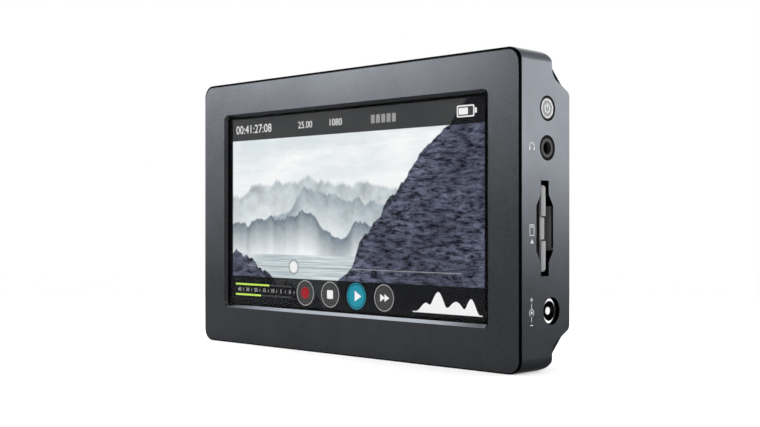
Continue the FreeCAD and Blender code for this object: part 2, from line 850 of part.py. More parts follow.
# Blower: case with inlet, outlet and post, and its rotor
fan_y = (deep(S.board_rear), deep(S.board_rear + S.fan_thickness))
fan_room = (deep(S.board_rear + S.fan_wall), deep(S.board_rear + S.fan_thickness - S.fan_wall))
fan_z = around(S.fan_rise, S.fan_width)
fan_centre = (size(0), S.fan_rise)
node(fuse("fan_housing", [
    cut("fan_case", box("fan_block", around(0, S.fan_width), fan_y, fan_z), [
        rod("fan_room", "Y", fan_room, fan_centre, S.fan_chamber),
        rod("fan_inlet_hole", "Y", (fan_room[0], fan_y[1]), fan_centre, S.fan_inlet),
        box("fan_outlet", (size(0), S.fan_chamber), fan_room, (S.fan_rise, fan_z[1])),
    ]),
    rod("fan_axle", "Y", (fan_y[0], fan_room[1]), fan_centre, S.fan_post),
]))
rotor_y = (fan_room[0] + S.fan_float, fan_room[1] - S.fan_float)
rotor_parts = [rod("rotor_hub", "Y", rotor_y, fan_centre, S.fan_hub)]
for index in range(FAN_BLADES):
    blade = box("rotor_blade", (size(0), S.fan_blade_tip), rotor_y, around(S.fan_rise, S.fan_blade))
    angle = 360.0 / FAN_BLADES * index
    blade.Placement = FreeCAD.Placement(V(0, 0, 0), FreeCAD.Rotation(Y_AXIS, angle))
    lean = math.radians(angle)
    set_down(blade, -S.fan_blade / 2 * math.sin(lean), rotor_y[0],
             S.fan_rise - S.fan_blade / 2 * math.cos(lean))
    rotor_parts.append(blade)
node(cut("fan_rotor", fuse("rotor_wheel", rotor_parts),
         [rod("rotor_bore", "Y", rotor_y, fan_centre, S.fan_post + S.fan_bore_gap)]))

# Rear housing outside: stepped profile along the width, rounded in the profile and at the four corners
lean_ratio = (S.rear_offset - S.cove_offset) / (S.body_depth - S.flange_depth)


def case_profile(front, inset, cove, rear):
    """Side outline of the case, from its front edge round the stepped rear."""
    flange = deep(S.flange_depth - inset)
    back = deep(S.body_depth - inset)
    return [
        (front, size(inset)),
        (flange, size(inset)),
        (flange, cove),
        (back, rear),
        (back, top(rear)),
        (flange, top(cove)),
        (flange, top(inset)),
        (front, top(inset)),
    ]


case_outside = prism("case_outside", "YZ_Plane",
                     case_profile(deep(housing_front), size(0), S.cove_offset, S.rear_offset), full_x)


def near_profile(depth, offset):
    """Test for the two mirrored profile corners at a depth and an offset from top and bottom."""
    place = float(deep(depth))
    low = float(offset)
    high = float(top(offset))

    def test(point):
        return abs(point.y - place) < 0.01 and min(abs(point.z - low), abs(point.z - high)) < 0.01
    return test


for label, depth, offset, radius in (
        ("rear_corner_round", S.flange_depth, size(0), S.rear_round),
        ("cove_round", S.flange_depth, S.cove_offset, S.cove_radius),
        ("crest_round", S.body_depth, S.rear_offset, S.crest_radius)):
    dress(case_outside, "Fillet", label,
          lines_along(case_outside.Shape, X_AXIS, near_profile(depth, offset)), "Radius", radius)
dress(case_outside, "Fillet", "side_edge_round",
      [number for number, edge in enumerate(case_outside.Shape.Edges, 1)
       if abs(abs(edge.CenterOfMass.x) - float(half_width)) < 0.001
       and edge.CenterOfMass.y > float(deep(housing_front)) + 0.01],
      "Radius", S.side_edge)
corner_block = rounded("corner_block",
                       box("corner_blank", full_x, (deep(0), deep(S.body_depth)), (size(0), S.body_height)),
                       Y_AXIS, S.corner_radius)
case_shape = doc.addObject("Part::Common", "case_shape")
case_shape.Base = case_outside
case_shape.Tool = corner_block

# Rear housing inside and its inner bosses
inner_shift = S.slope_wall - lean_ratio * S.wall
case_inside = prism("case_inside", "YZ_Plane",
                    case_profile(deep(0), S.wall, S.cove_offset + inner_shift, S.rear_offset + inner_shift),
                    (-inner_x, inner_x))
boss_y = around(deep(S.thread_depth), S.insert_boss - 3 * S.wall / 2)
boss_x = around(0, S.insert_boss)
housing_solid = fuse("housing_solid", [
    cut("housing_shell", case_shape, [case_inside]),
    box("low_thread_boss", boss_x, boss_y, (S.wall / 2, S.insert_reach)),
    box("high_thread_boss", boss_x, boss_y, (top(S.insert_reach), top(S.wall / 2))),
])

# Openings of the rear housing
right_wall = (inner_x - S.wall, half_width + S.wall)
left_wall = (-half_width - S.wall, -inner_x + S.wall)
slot_y = deep(S.slot_depth)
narrow = S.slot_width / 2
wide = S.notch_width / 2


def slot_outline():
    """Card slot with a finger notch that widens towards its middle."""
    rise = S.slot_rise
    half_length = S.slot_length / 2
    outer = S.notch_outer / 2
    inner = S.notch_inner / 2
    return [
        (slot_y - narrow, rise - half_length),
        (slot_y + narrow, rise - half_length),
        (slot_y + narrow, rise - outer),
        (slot_y + wide, rise - inner),
        (slot_y + wide, rise + inner),
        (slot_y + narrow, rise + outer),
        (slot_y + narrow, rise + half_length),
        (slot_y - narrow, rise + half_length),
        (slot_y - narrow, rise + outer),
        (slot_y - wide, rise + inner),
        (slot_y - wide, rise - inner),
        (slot_y - narrow, rise - outer),
    ]


button_centre = (deep(S.button_depth), S.button_rise)
jack_centre = (deep(S.jack_depth), S.jack_rise)
inlet_centre = (deep(S.inlet_depth), S.inlet_rise)
video_depth = S.board_rear + S.fit_gap + S.video_height / 2
video_rises = (("in", S.video_high_rise), ("out", S.video_low_rise))
coax_rises = (("in", S.coax_high_rise), ("out", S.coax_low_rise))
openings = [
    rod("button_hole", "X", right_wall, button_centre, S.collar_outer + S.fit_gap),
    rod("jack_hole", "X", right_wall, jack_centre, S.jack_nose + S.fit_gap),
    rod("inlet_hole", "X", right_wall, inlet_centre, S.inlet_radius),
    prism("card_slot_cutter", "YZ_Plane", slot_outline(), right_wall),
]
for way, rise in video_rises:
    openings.append(box("video_hole_" + way, left_wall,
                        around(deep(video_depth), S.video_height + 2 * S.side_gap),
                        around(rise, S.video_width + 2 * S.side_gap)))
for way, rise in coax_rises:
    openings.append(rod("coax_hole_" + way, "X", left_wall, (deep(S.coax_depth), rise),
                        S.coax_outer + S.side_gap))
thread_centre = (size(0), deep(S.thread_depth))
insert_hole = S.insert_radius + S.fit_gap
openings.append(rod("low_insert_hole", "Z", (-S.wall, S.insert_room), thread_centre, insert_hole))
openings.append(rod("high_insert_hole", "Z", (top(S.insert_room), top(-S.wall)), thread_centre, insert_hole))
for side in (-1, 1):
    place = (side * S.lug_offset, deep(S.lug_screw_depth))
    hole = S.screw_radius + S.screw_gap
    head = S.screw_head + S.screw_gap
    openings += [
        rod("low_screw_hole", "Z", (-S.wall, 2 * S.wall), place, hole),
        rod("high_screw_hole", "Z", (top(2 * S.wall), top(-S.wall)), place, hole),
        taper("low_screw_sink", "Z", (size(0), S.flat_head_height), place, head, hole),
        taper("high_screw_sink", "Z", (top(S.flat_head_height), S.body_height), place, hole, head),
    ]

tray_low = S.bay_low - S.tray_foot
tray_high = S.bay_low + S.bay_height + S.tray_wall
tray_outer = S.bay_width + 2 * S.tray_wall
ear_y = (deep(S.rear_inner - S.ear_thickness), deep(S.rear_inner))
ear_z = (S.bay_low, S.bay_low + S.bay_height)
ear_screw_rises = (ear_z[0] + S.ear_screw_inset, ear_z[1] - S.ear_screw_inset)
screw_tip = S.wall * 2 / 3


def ear_screw_places(side):
    """Centres of the four ear screws of a tray."""
    reach = tray_outer / 2 + S.ear_width / 2
    return [(side * S.bay_offset + way * reach, rise) for way in (-1, 1) for rise in ear_screw_rises]


for side in (-1, 1):
    blank = box("bay_opening_blank", around(side * S.bay_offset, tray_outer + 2 * S.tray_gap),
                (deep(S.rear_inner - S.wall), deep(S.body_depth + S.wall)),
                (tray_low - S.tray_gap, tray_high + S.tray_gap))
    openings.append(rounded("bay_opening", blank, Y_AXIS, S.tray_radius + S.tray_gap))
    openings += [rod("ear_screw_hole", "Y", (deep(S.rear_inner), deep(S.rear_inner + screw_tip)), place,
                     S.small_screw + S.screw_gap)
                 for place in ear_screw_places(side)]

# Vent slots through the upper and lower cove
vent_y = (deep(S.flange_depth + S.vent_reach / 2 - S.vent_slot_width / 2),
          deep(S.flange_depth + S.vent_reach / 2 + S.vent_slot_width / 2))
vent_low_z = (S.vent_start, S.rear_offset + inner_shift)
vent_high_z = (top(S.rear_offset + inner_shift), top(S.vent_start))
vent_slot_pitch = SLITS_PER_SLOT * S.vent_pitch
vent_slot_centres = [(index - (VENT_SLOTS - 1) / 2) * vent_slot_pitch for index in range(VENT_SLOTS)]
vent_slot_x = [around(centre, vent_slot_pitch - S.vent_rib) for centre in vent_slot_centres]
for span in vent_slot_x:
    openings.append(box("low_vent_slot", span, vent_y, vent_low_z))
    openings.append(box("high_vent_slot", span, vent_y, vent_high_z))
node(cut("rear_housing", housing_solid, openings))

# Black vent strips that fill the coves, with cross slits and clips in the slots
vent_x = (-half_width + S.vent_side_gap, half_width - S.vent_side_gap)
vent_end = S.cove_offset + lean_ratio * S.vent_reach
clip_y = (vent_y[0] + S.fit_gap, vent_y[1] - S.fit_gap)


def vent_strip(label, upper):
    """A strip with a flat face across the cove and a back that follows the housing."""
    def height(offset):
        return top(offset) if upper else size(offset)

    def span(low, high):
        return (height(high), height(low)) if upper else (height(low), height(high))

    wedge = prism(label + "_wedge", "YZ_Plane", [
        (deep(S.flange_depth), height(S.vent_start)),
        (deep(S.flange_depth + S.vent_reach), height(vent_end)),
        (deep(S.flange_depth), height(vent_end)),
    ], vent_x)
    crescent = cut(label + "_crescent", wedge, [case_shape])
    parts = [crescent]
    clip_z = span(S.cove_offset + S.side_edge, vent_end + S.slope_wall / 3)
    slits = []
    for middle in vent_slot_centres:
        for step in (-CLIP_STEPS, CLIP_STEPS):
            clip_x = around(middle + step * S.vent_pitch, S.vent_clip)
            parts.append(box(label + "_clip", clip_x, clip_y, clip_z))
        for index in range(SLITS_PER_SLOT):
            step = index - (SLITS_PER_SLOT - 1) / 2
            slits.append(box(label + "_slit", around(middle + step * S.vent_pitch, S.vent_slit), vent_y,
                             span(S.vent_start, vent_end + S.slope_wall)))
    return cut(label, fuse(label + "_clipped", parts), slits)


node(vent_strip("vent_strip_top", True))
node(vent_strip("vent_strip_bottom", False))

# Battery trays with ears, blade slots, latch channel and spring shelf
latch_y = (deep(S.bay_floor + S.tray_floor), deep(S.body_depth - S.flush_gap * 2))
stem_low = tray_low + S.latch_travel + S.latch_gap
stem_high = S.bay_low - S.fit_gap
foot_y = (deep(S.tray_front - S.fit_gap - S.latch_foot_depth), deep(S.tray_front - S.fit_gap))
blade_y = (deep(S.bay_floor + S.blade_rise), deep(S.bay_floor + S.blade_rise + S.blade_height))
bay_high = S.bay_low + S.bay_height
shelf_z = (S.spring_shelf, S.spring_shelf + S.shelf_thickness)
shelf_y = (foot_y[0], deep(S.tray_front + S.tray_floor / 2))


def blade_span(side, index, extra):
    """Low and high place across of a contact blade, with room added for its slot."""
    centre = side * S.bay_offset + (index - (CONTACT_BLADES - 1) / 2) * S.blade_pitch
    return around(centre, S.blade_width + extra)


def spring_turns(name, middle):
    """Half rings of the latch spring, each tilted so that it runs into the next one."""
    low = shelf_z[1] + S.spring_wire
    rise = (stem_low - S.spring_wire - low) / (2 * SPRING_TURNS)
    tilt = math.degrees(math.atan2(float(rise) / 2, float(S.spring_radius)))
    turns = []
    for index in range(2 * SPRING_TURNS):
        ring = doc.addObject("Part::Torus", "spring_half_turn_" + name)
        bind(ring, "Radius1", Size(math.hypot(float(rise) / 2, float(S.spring_radius)),
                                   "sqrt(pow(%s; 2) + pow(%s; 2))" % ((rise / 2).text, S.spring_radius.text)))
        bind(ring, "Radius2", S.spring_wire)
        ring.Angle3 = 180
        turn = FreeCAD.Rotation(Y_AXIS, tilt)
        if index % 2:
            turn = FreeCAD.Rotation(Y_AXIS, -tilt).multiply(FreeCAD.Rotation(Z_AXIS, 180))
        ring.Placement = FreeCAD.Placement(V(0, 0, 0), turn)
        set_down(ring, middle, (foot_y[0] + foot_y[1]) / 2, low + rise * (index + 0.5))
        turns.append(ring)
    return turns


def battery_tray(name, side):
    """An open tray for one battery, with all that sits in it."""
    middle = side * S.bay_offset
    tray_y = (deep(S.tray_front), deep(S.body_depth - S.flush_gap))
    block = rounded("tray_block_" + name,
                    box("tray_blank_" + name, around(middle, tray_outer), tray_y, (tray_low, tray_high)),
                    Y_AXIS, S.tray_radius)
    stem_x = around(middle, S.latch_stem)
    slot_room = S.latch_stem + 2 * S.latch_gap
    arm_y = (deep(S.tray_front), shelf_y[1])
    arm_z = (shelf_z[0], tray_low + S.tray_wall)
    left_arm = (middle - slot_room / 2 - S.shelf_arm, middle - slot_room / 2)
    right_arm = (middle + slot_room / 2, middle + slot_room / 2 + S.shelf_arm)
    body = fuse("tray_body_" + name, [
        block,
        box("tray_ears_" + name, around(middle, tray_outer + 2 * S.ear_width), ear_y, ear_z),
        box("tray_shelf_" + name, around(middle, slot_room + 2 * S.shelf_arm), shelf_y, shelf_z),
        box("tray_left_arm_" + name, left_arm, arm_y, arm_z),
        box("tray_right_arm_" + name, right_arm, arm_y, arm_z),
    ])
    bay = rounded("bay_room_" + name,
                  box("bay_blank_" + name, around(middle, S.bay_width),
                      (deep(S.bay_floor), deep(S.body_depth)), (S.bay_low, bay_high)),
                  Y_AXIS, S.tray_radius - S.tray_wall)
    channel = around(middle, S.latch_width + 2 * S.latch_gap)
    cutters = [
        bay,
        box("latch_channel_" + name, channel, (latch_y[0] - S.latch_gap, deep(S.body_depth)),
            (tray_low - S.tray_gap, S.bay_low + S.tray_wall)),
        box("stem_slot_" + name, around(middle, slot_room),
            (deep(S.tray_front), deep(S.body_depth)), (stem_low - S.latch_travel - S.latch_gap, S.bay_low)),
    ]
    for index in range(CONTACT_BLADES):
        cutters.append(box("blade_slot_" + name, blade_span(side, index, 2 * S.fit_gap),
                           (blade_y[0] - S.fit_gap, blade_y[1] + S.fit_gap), (bay_high, tray_high)))
    for place in ear_screw_places(side):
        cutters.append(rod("ear_hole_" + name, "Y", ear_y, place, S.small_screw + S.screw_gap))
    node(cut("battery_tray_" + name, body, cutters))

    node(box("contact_block_" + name, around(middle, CONTACT_BLADES * S.blade_pitch),
             (deep(S.tray_front), deep(S.bay_floor + S.blade_rise + S.blade_height)),
             (tray_high, tray_high + S.contact_height)))
    node(group("contact_blades_" + name, [
        box("contact_blade_" + name, blade_span(side, index, 0), blade_y,
            (bay_high - S.blade_reach, tray_high))
        for index in range(CONTACT_BLADES)]))

    nose_rear = latch_y[1] - S.tray_wall
    nose = prism("latch_nose_" + name, "YZ_Plane", [
        (nose_rear - 2 * S.latch_nose, stem_high - S.tray_wall),
        (nose_rear, stem_high - S.tray_wall),
        (nose_rear, stem_high),
        (nose_rear - S.latch_nose, stem_high + S.latch_nose),
        (nose_rear - 2 * S.latch_nose, stem_high + S.latch_nose),
    ], around(middle, S.latch_stem))
    rib_pitch = (stem_high - stem_low) / (LATCH_RIBS + 1)
    ribs = [
        box("latch_rib_" + name, around(middle, S.latch_width - 2 * S.tray_wall),
            (latch_y[1], latch_y[1] + S.latch_rib),
            around(stem_low + rib_pitch * (index + 1), S.latch_rib_height))
        for index in range(LATCH_RIBS)]
    node(fuse("battery_latch_" + name, ribs + [
        box("latch_thumb_" + name, around(middle, S.latch_width), latch_y, (stem_low, stem_high)),
        nose,
        box("latch_stem_" + name, stem_x, (foot_y[0], latch_y[1] - S.tray_wall), (stem_low, stem_high)),
        box("latch_foot_" + name, around(middle, S.latch_foot), foot_y, (stem_low, stem_high)),
    ]))

    node(fuse("latch_spring_" + name, spring_turns(name, middle)))


battery_tray("left", -1)
battery_tray("right", 1)
ear_front = S.rear_inner - S.ear_thickness
node(group("tray_screws", [
    cap_screw("tray_screw", "Y", (deep(ear_front - S.small_head_height), deep(ear_front)),
              (deep(ear_front - S.small_head_height), deep(S.rear_inner + screw_tip)),
              place, S.small_screw, S.small_head)
    for side in (-1, 1) for place in ear_screw_places(side)]))

# Power button: cap with retaining flange, collar, switch and plunger
button_end = half_width - S.flush_gap
flange_x = (inner_x - S.flush_gap - S.button_flange, inner_x - S.flush_gap)
node(fuse("power_button_cap", [
    rod("button_face", "X", (flange_x[0], button_end), button_centre, S.button_radius),
    rod("button_stop", "X", flange_x, button_centre, (S.collar_inner + S.collar_outer) / 2),
]))
node(tube("button_collar", "X", (inner_x, button_end), button_centre, S.collar_outer, S.collar_inner))
plunger_x = (flange_x[0] - S.plunger_reach, flange_x[0])
switch_front = flange_x[0] - S.button_travel * 2
switch_y = (deep(S.board_rear), deep(2 * S.button_depth - S.board_rear))
node(rod("switch_plunger", "X", plunger_x, button_centre, S.plunger_radius))
node(cut("power_switch",
         box("switch_block", (switch_front - S.switch_length, switch_front), switch_y,
             around(S.button_rise, S.switch_width)),
         [rod("switch_bore", "X", (plunger_x[0] - S.button_travel - S.flush_gap, switch_front), button_centre,
              S.plunger_radius + S.fit_gap)]))

# Headphone socket with a metal sleeve at its mouth
nose_end = half_width - S.flush_gap
sleeve_x = (nose_end - S.jack_sleeve_length, nose_end)
body_end = inner_x - S.flush_gap
node(cut("headphone_jack",
         fuse("jack_solid", [
             box("jack_block", (body_end - S.jack_length, body_end),
                 (deep(S.board_rear), deep(2 * S.jack_depth - S.board_rear)),
                 around(S.jack_rise, S.jack_width)),
             rod("jack_nose_rod", "X", (body_end - S.flush_gap, nose_end), jack_centre, S.jack_nose),
         ]),
         [rod("jack_way", "X", (nose_end - S.jack_bore_length, nose_end), jack_centre, S.jack_bore),
          rod("jack_mouth", "X", sleeve_x, jack_centre, S.jack_sleeve_radius + S.fit_gap)]))
node(tube("jack_sleeve", "X", sleeve_x, jack_centre, S.jack_sleeve_radius, S.jack_bore))

# Card slot: liner behind the wall, socket with steel shell, memory card
card_end = half_width - S.card_recess
card_start = card_end - S.card_length
card_y = (deep(S.board_rear + S.socket_floor + S.card_face_gap),
          deep(S.board_rear + S.socket_floor + S.card_face_gap + S.card_thickness))
room_y = (card_y[0] - S.card_face_gap, card_y[1] + S.card_face_gap)
card_z = around(S.slot_rise, S.card_width)
room_z = around(S.slot_rise, S.card_width + 2 * S.card_side_gap)
liner_x = (inner_x - S.fit_gap - S.liner_thickness, inner_x - S.fit_gap)
socket_end = liner_x[0] - S.fit_gap
socket_start = card_start - S.card_push - S.socket_rim
socket_z = around(S.slot_rise, S.card_width + 2 * S.card_side_gap + 2 * S.socket_rim)
node(cut("card_slot_liner",
         box("liner_plate", liner_x, (slot_y - wide - S.wall / 2, slot_y + wide + S.wall / 2),
             around(S.slot_rise, S.slot_length + S.liner_margin)),
         [box("liner_mouth", liner_x, (room_y[0] - S.card_face_gap, room_y[1] + S.card_face_gap),
              around(S.slot_rise, S.card_width + 4 * S.card_side_gap))]))
node(cut("card_socket",
         box("socket_block", (socket_start, socket_end), (deep(S.board_rear), room_y[1]), socket_z),
         [box("socket_room", (card_start - S.card_push - S.card_side_gap, socket_end), room_y, room_z)]))
node(box("card_socket_shell", (socket_start, socket_end - S.socket_rim),
         (room_y[1], room_y[1] + S.socket_shell), socket_z))
card_blank = box("card_blank", (card_start, card_end), card_y, card_z)
corner_cut = prism("card_corner_cutter", "XZ_Plane", [
    (card_start, card_z[1]),
    (card_start, card_z[1] - S.card_corner),
    (card_start + S.card_corner, card_z[1]),
], card_y)
grip_cut = box("card_grip_cutter", (card_end - S.card_recess * 4, card_end),
               (card_y[1] - S.socket_floor, card_y[1]), around(S.slot_rise, S.card_grip))
node(cut("memory_card", card_blank, [corner_cut, grip_cut]))

# Power inlet: body, chrome barrel and centre pin
inlet_end = body_end
barrel_x = (half_width - S.inlet_recess - S.barrel_length, half_width - S.inlet_recess)
pin_x = (barrel_x[0], barrel_x[1] - S.inlet_recess / 2)
node(cut("dc_socket",
         box("inlet_block", (inlet_end - S.inlet_length, inlet_end),
             around(deep(S.inlet_depth), S.inlet_body), around(S.inlet_rise, S.inlet_body)),
         [rod("inlet_room", "X", (barrel_x[0], inlet_end), inlet_centre, S.barrel_outer + S.fit_gap)]))
node(tube("dc_barrel", "X", barrel_x, inlet_centre, S.barrel_outer, S.barrel_inner))
node(rod("dc_pin", "X", pin_x, inlet_centre, S.pin_radius))


# Left side: digital video sockets and small coaxial sockets
def video_outline(rise, width, height, corner):
    """Six-sided socket outline with two cut corners."""
    y_low, y_high = around(deep(video_depth), height)
    z_low, z_high = around(rise, width)
    return [
        (y_low, z_low + corner),
        (y_low, z_high - corner),
        (y_low + corner, z_high),
        (y_high, z_high),
        (y_high, z_low),
        (y_low + corner, z_low),
    ]


left_end = -half_width + S.flush_gap
for way, rise in video_rises:
    shell_x = (left_end, left_end + S.video_length)
    inner_width = S.video_width - 2 * S.video_shell
    inner_height = S.video_height - 2 * S.video_shell
    name = "video_%s" % way
    node(cut(name + "_shell",
             prism(name + "_outside", "YZ_Plane",
                   video_outline(rise, S.video_width, S.video_height, S.video_corner), shell_x),
             [prism(name + "_inside", "YZ_Plane",
                    video_outline(rise, inner_width, inner_height, S.video_corner), shell_x)]))
    plug_x = (shell_x[1] - S.wall, shell_x[1])
    plug = prism(name + "_plug", "YZ_Plane",
                 video_outline(rise, inner_width - 2 * S.fit_gap, inner_height - 2 * S.fit_gap,
                               S.video_corner), plug_x)
    tongue = box(name + "_tongue", (left_end + S.wall, shell_x[1] - S.wall / 2),
                 around(deep(video_depth), S.video_tongue), around(rise, S.video_tongue_width))
    node(fuse(name + "_core", [plug, tongue]))
for way, rise in coax_rises:
    name = "coax_%s" % way
    centre = (deep(S.coax_depth), rise)
    barrel_span = (left_end, left_end + S.coax_length)
    foot = box(name + "_foot", (-inner_x + S.flush_gap, barrel_span[1]),
               (deep(S.board_rear), deep(2 * S.coax_depth - S.board_rear)), around(rise, 2 * S.coax_outer))
    node(cut(name + "_barrel",
             fuse(name + "_solid", [rod(name + "_rod", "X", barrel_span, centre, S.coax_outer), foot]),
             [rod(name + "_bore", "X", barrel_span, centre, S.coax_inner)]))
    middle_x = (left_end + barrel_span[1]) / 2
    node(fuse(name + "_core", [
        rod(name + "_insulator", "X", (middle_x, barrel_span[1]), centre, S.coax_inner - S.fit_gap),
        rod(name + "_pin", "X", (left_end + S.wall, barrel_span[1]), centre, S.coax_pin),
    ]))

# Camera thread inserts and bezel screws
node(tube("thread_insert_bottom", "Z", (S.flush_gap, S.insert_room), thread_centre,
          S.insert_radius, S.thread_radius))
node(tube("thread_insert_top", "Z", (top(S.insert_room), top(S.flush_gap)), thread_centre,
          S.insert_radius, S.thread_radius))


def hex_socket(label, place, span):
    """Six-sided key room in a screw head."""
    corners = [(math.cos(math.radians(60 * turn)), math.sin(math.radians(60 * turn))) for turn in range(6)]
    return prism(label, "XY_Plane", [
        (place[0] + across * S.screw_socket, place[1] + along * S.screw_socket)
        for across, along in corners], span)


bezel_screws = []
for side in (-1, 1):
    place = (side * S.lug_offset, deep(S.lug_screw_depth))
    reach = nest + S.lug_height
    low_key = (S.screw_gap, S.screw_gap + S.screw_socket_depth)
    high_key = (top(S.screw_gap + S.screw_socket_depth), top(S.screw_gap))
    bezel_screws.append(cut("low_bezel_screw", fuse("low_screw_blank", [
        taper("low_screw_head", "Z", (S.screw_gap, S.flat_head_height), place, S.screw_head, S.screw_radius),
        rod("low_screw_shank", "Z", (S.screw_gap, reach), place, S.screw_radius),
    ]), [hex_socket("low_key_room", place, low_key)]))
    bezel_screws.append(cut("high_bezel_screw", fuse("high_screw_blank", [
        taper("high_screw_head", "Z", (top(S.flat_head_height), top(S.screw_gap)), place,
              S.screw_radius, S.screw_head),
        rod("high_screw_shank", "Z", (top(reach), top(S.screw_gap)), place, S.screw_radius),
    ]), [hex_socket("high_key_room", place, high_key)]))
node(group("bezel_screws", bezel_screws))

# Every object must be sound before the pieces are written
doc.recompute()
for item in doc.Objects:
    if "Invalid" in item.State or "Error" in item.State:
        raise RuntimeError("%s did not rebuild" % item.Label)
os.makedirs("parts", exist_ok=True)
for item in nodes:
    shape = item.Shape
    if shape.isNull() or not shape.isValid() or not shape.Solids:
        raise RuntimeError("%s is not a sound solid" % item.Label)
    shape.exportStep("parts/%s.step" % item.Label)
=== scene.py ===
import bmesh
import bpy
import json
import math
from mathutils import Matrix, Vector


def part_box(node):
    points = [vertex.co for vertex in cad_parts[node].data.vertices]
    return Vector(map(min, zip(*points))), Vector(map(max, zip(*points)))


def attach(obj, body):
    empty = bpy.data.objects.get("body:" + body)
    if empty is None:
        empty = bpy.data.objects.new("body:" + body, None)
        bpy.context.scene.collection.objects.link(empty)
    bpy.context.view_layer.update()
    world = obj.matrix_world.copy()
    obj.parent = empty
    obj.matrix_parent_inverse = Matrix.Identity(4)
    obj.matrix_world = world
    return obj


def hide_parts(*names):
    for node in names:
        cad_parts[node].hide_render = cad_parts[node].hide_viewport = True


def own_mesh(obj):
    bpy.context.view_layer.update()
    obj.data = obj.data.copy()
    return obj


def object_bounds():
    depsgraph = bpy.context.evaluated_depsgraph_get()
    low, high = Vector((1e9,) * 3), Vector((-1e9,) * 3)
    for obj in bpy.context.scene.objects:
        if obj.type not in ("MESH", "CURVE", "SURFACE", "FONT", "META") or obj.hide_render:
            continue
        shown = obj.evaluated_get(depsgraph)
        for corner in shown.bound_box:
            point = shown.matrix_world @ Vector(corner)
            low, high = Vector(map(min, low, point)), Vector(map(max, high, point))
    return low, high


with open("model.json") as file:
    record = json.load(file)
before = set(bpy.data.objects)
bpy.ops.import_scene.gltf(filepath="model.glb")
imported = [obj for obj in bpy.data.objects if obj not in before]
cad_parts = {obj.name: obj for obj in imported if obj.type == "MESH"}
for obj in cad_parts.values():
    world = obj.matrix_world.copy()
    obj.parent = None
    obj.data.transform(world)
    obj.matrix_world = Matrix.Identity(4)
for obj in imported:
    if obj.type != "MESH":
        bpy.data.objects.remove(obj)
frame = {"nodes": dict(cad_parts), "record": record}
cad_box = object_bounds()
nodes = frame["nodes"]

# Lengths are written in millimetres and used in metres
MM = 0.001
BODY = "monitor_body"

# Camera of the photograph: place, turn, and focal length and drop in pixels of the 760 wide picture
PICTURE_WIDTH = 760
SENSOR_WIDTH = 36
EYE = (254.4 * MM, -256.9 * MM, 41.2 * MM)
YAW = 44.09
PITCH = 0.22
FOCAL_PIXELS = 1142.0
DROP_PIXELS = 4.1

# Studio: the floor in metres, how it runs into white from near to far, and the even light all round
FLOOR_RADIUS = 3.0
FLOOR_CORNERS = 96
FLOOR_RIM = 0.2
FLOOR_DROP = 0.02 * MM
FADE_START = 0.09
FADE_END = 0.34
FADE_NEAR = 0.35
AMBIENT = 0.15

# Skylines of the lit picture: height, fall, swing, scale, seed, softness, tone and depth of the mist,
# and the tone's share in the hollows of their slopes
RANGES = (
    (0.30, 0.12, 0.9, 1.1, 4.7, 0.03, (0.62, 0.69, 0.72, 1.0), 0.55),
    (0.06, 0.20, 1.0, 1.4, 11.3, 0.02, (0.42, 0.50, 0.55, 1.0), 0.50),
    (-0.16, -0.10, 0.8, 1.9, 23.9, 0.012, (0.20, 0.26, 0.31, 1.0), 0.42),
)
HOLLOW_SHARE = 0.55
# Dark cliffs before them: height, fall, swing, scale and seed
CLIFFS = (
    (-0.62, 2.0, 1.0, 1.6, 37.1),
    (-1.15, -0.75, 0.7, 2.4, 52.6),
)
CLIFF_SOFTNESS = 0.008
# The picture's water line and dark bars: their edges and softness, from -1 to 1 up the picture, and how much
# the bars cover
WATER_LINE = -0.47
TOP_BAR_EDGE = 0.765
TOP_BAR_COVER = 0.945
BOTTOM_BAR_EDGE = -0.71
BOTTOM_BAR_COVER = 0.965
WATER_SOFTNESS = 0.01
BAR_SOFTNESS = 0.003
BAR_TONE = (0.004, 0.0043, 0.005, 1.0)

# Places read from the frame, half the size of the lit picture and the bezel's corner
panel_low, panel_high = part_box("lcd_panel")
bezel_low, bezel_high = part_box("front_bezel")
SCREEN_MIDDLE = (panel_low + panel_high) / 2
PICTURE_HALF_WIDTH = 55.35 * MM
PICTURE_HALF_HEIGHT = 31.15 * MM
CORNER_RADIUS = 4.0 * MM
button_low, button_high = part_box("power_button_cap")
BUTTON_MIDDLE = (button_low + button_high) / 2
RIGHT_FACE = cad_box[1][0]
LEFT_FACE = cad_box[0][0]

# Prints: their thickness, and how far they stand proud of a side face
PRINT = 0.012 * MM
PROUD = 0.004 * MM

# Shaping: the widest turn that is shaded round, and the distance below which two points are one
SMOOTH_ANGLE = math.radians(35)
MERGE_LIMIT = 0.001 * MM


def deselect_all():
    """Leaves edit mode and selects nothing."""
    if bpy.context.object and bpy.context.object.mode != "OBJECT":
        bpy.ops.object.mode_set(mode="OBJECT")
    bpy.ops.object.select_all(action="DESELECT")


def opened(name):
    """Names the primitive that was just added and opens it for shaping."""
    piece = bpy.context.active_object
    piece.name = name
    piece.data.name = name
    bpy.ops.object.transform_apply(location=True, rotation=True, scale=True)
    bpy.ops.object.mode_set(mode="EDIT")
    return piece


def pick(piece, kind, test):
    """Selects the faces, edges or vertices that pass a test."""
    bpy.ops.mesh.select_mode(type=kind)
    bpy.ops.mesh.select_all(action="DESELECT")
    shape = bmesh.from_edit_mesh(piece.data)
    for item in {"VERT": shape.verts, "EDGE": shape.edges, "FACE": shape.faces}[kind]:
        if test(item):
            item.select_set(True)
    shape.select_flush_mode()
    bmesh.update_edit_mesh(piece.data)


def with_modifier(piece, kind, **settings):
    """Adds a modifier to a piece and applies it."""
    modifier = piece.modifiers.new(kind.lower(), kind)
    for key, value in settings.items():
        setattr(modifier, key, value)
    bpy.context.view_layer.objects.active = piece
    bpy.ops.object.modifier_apply(modifier=modifier.name)


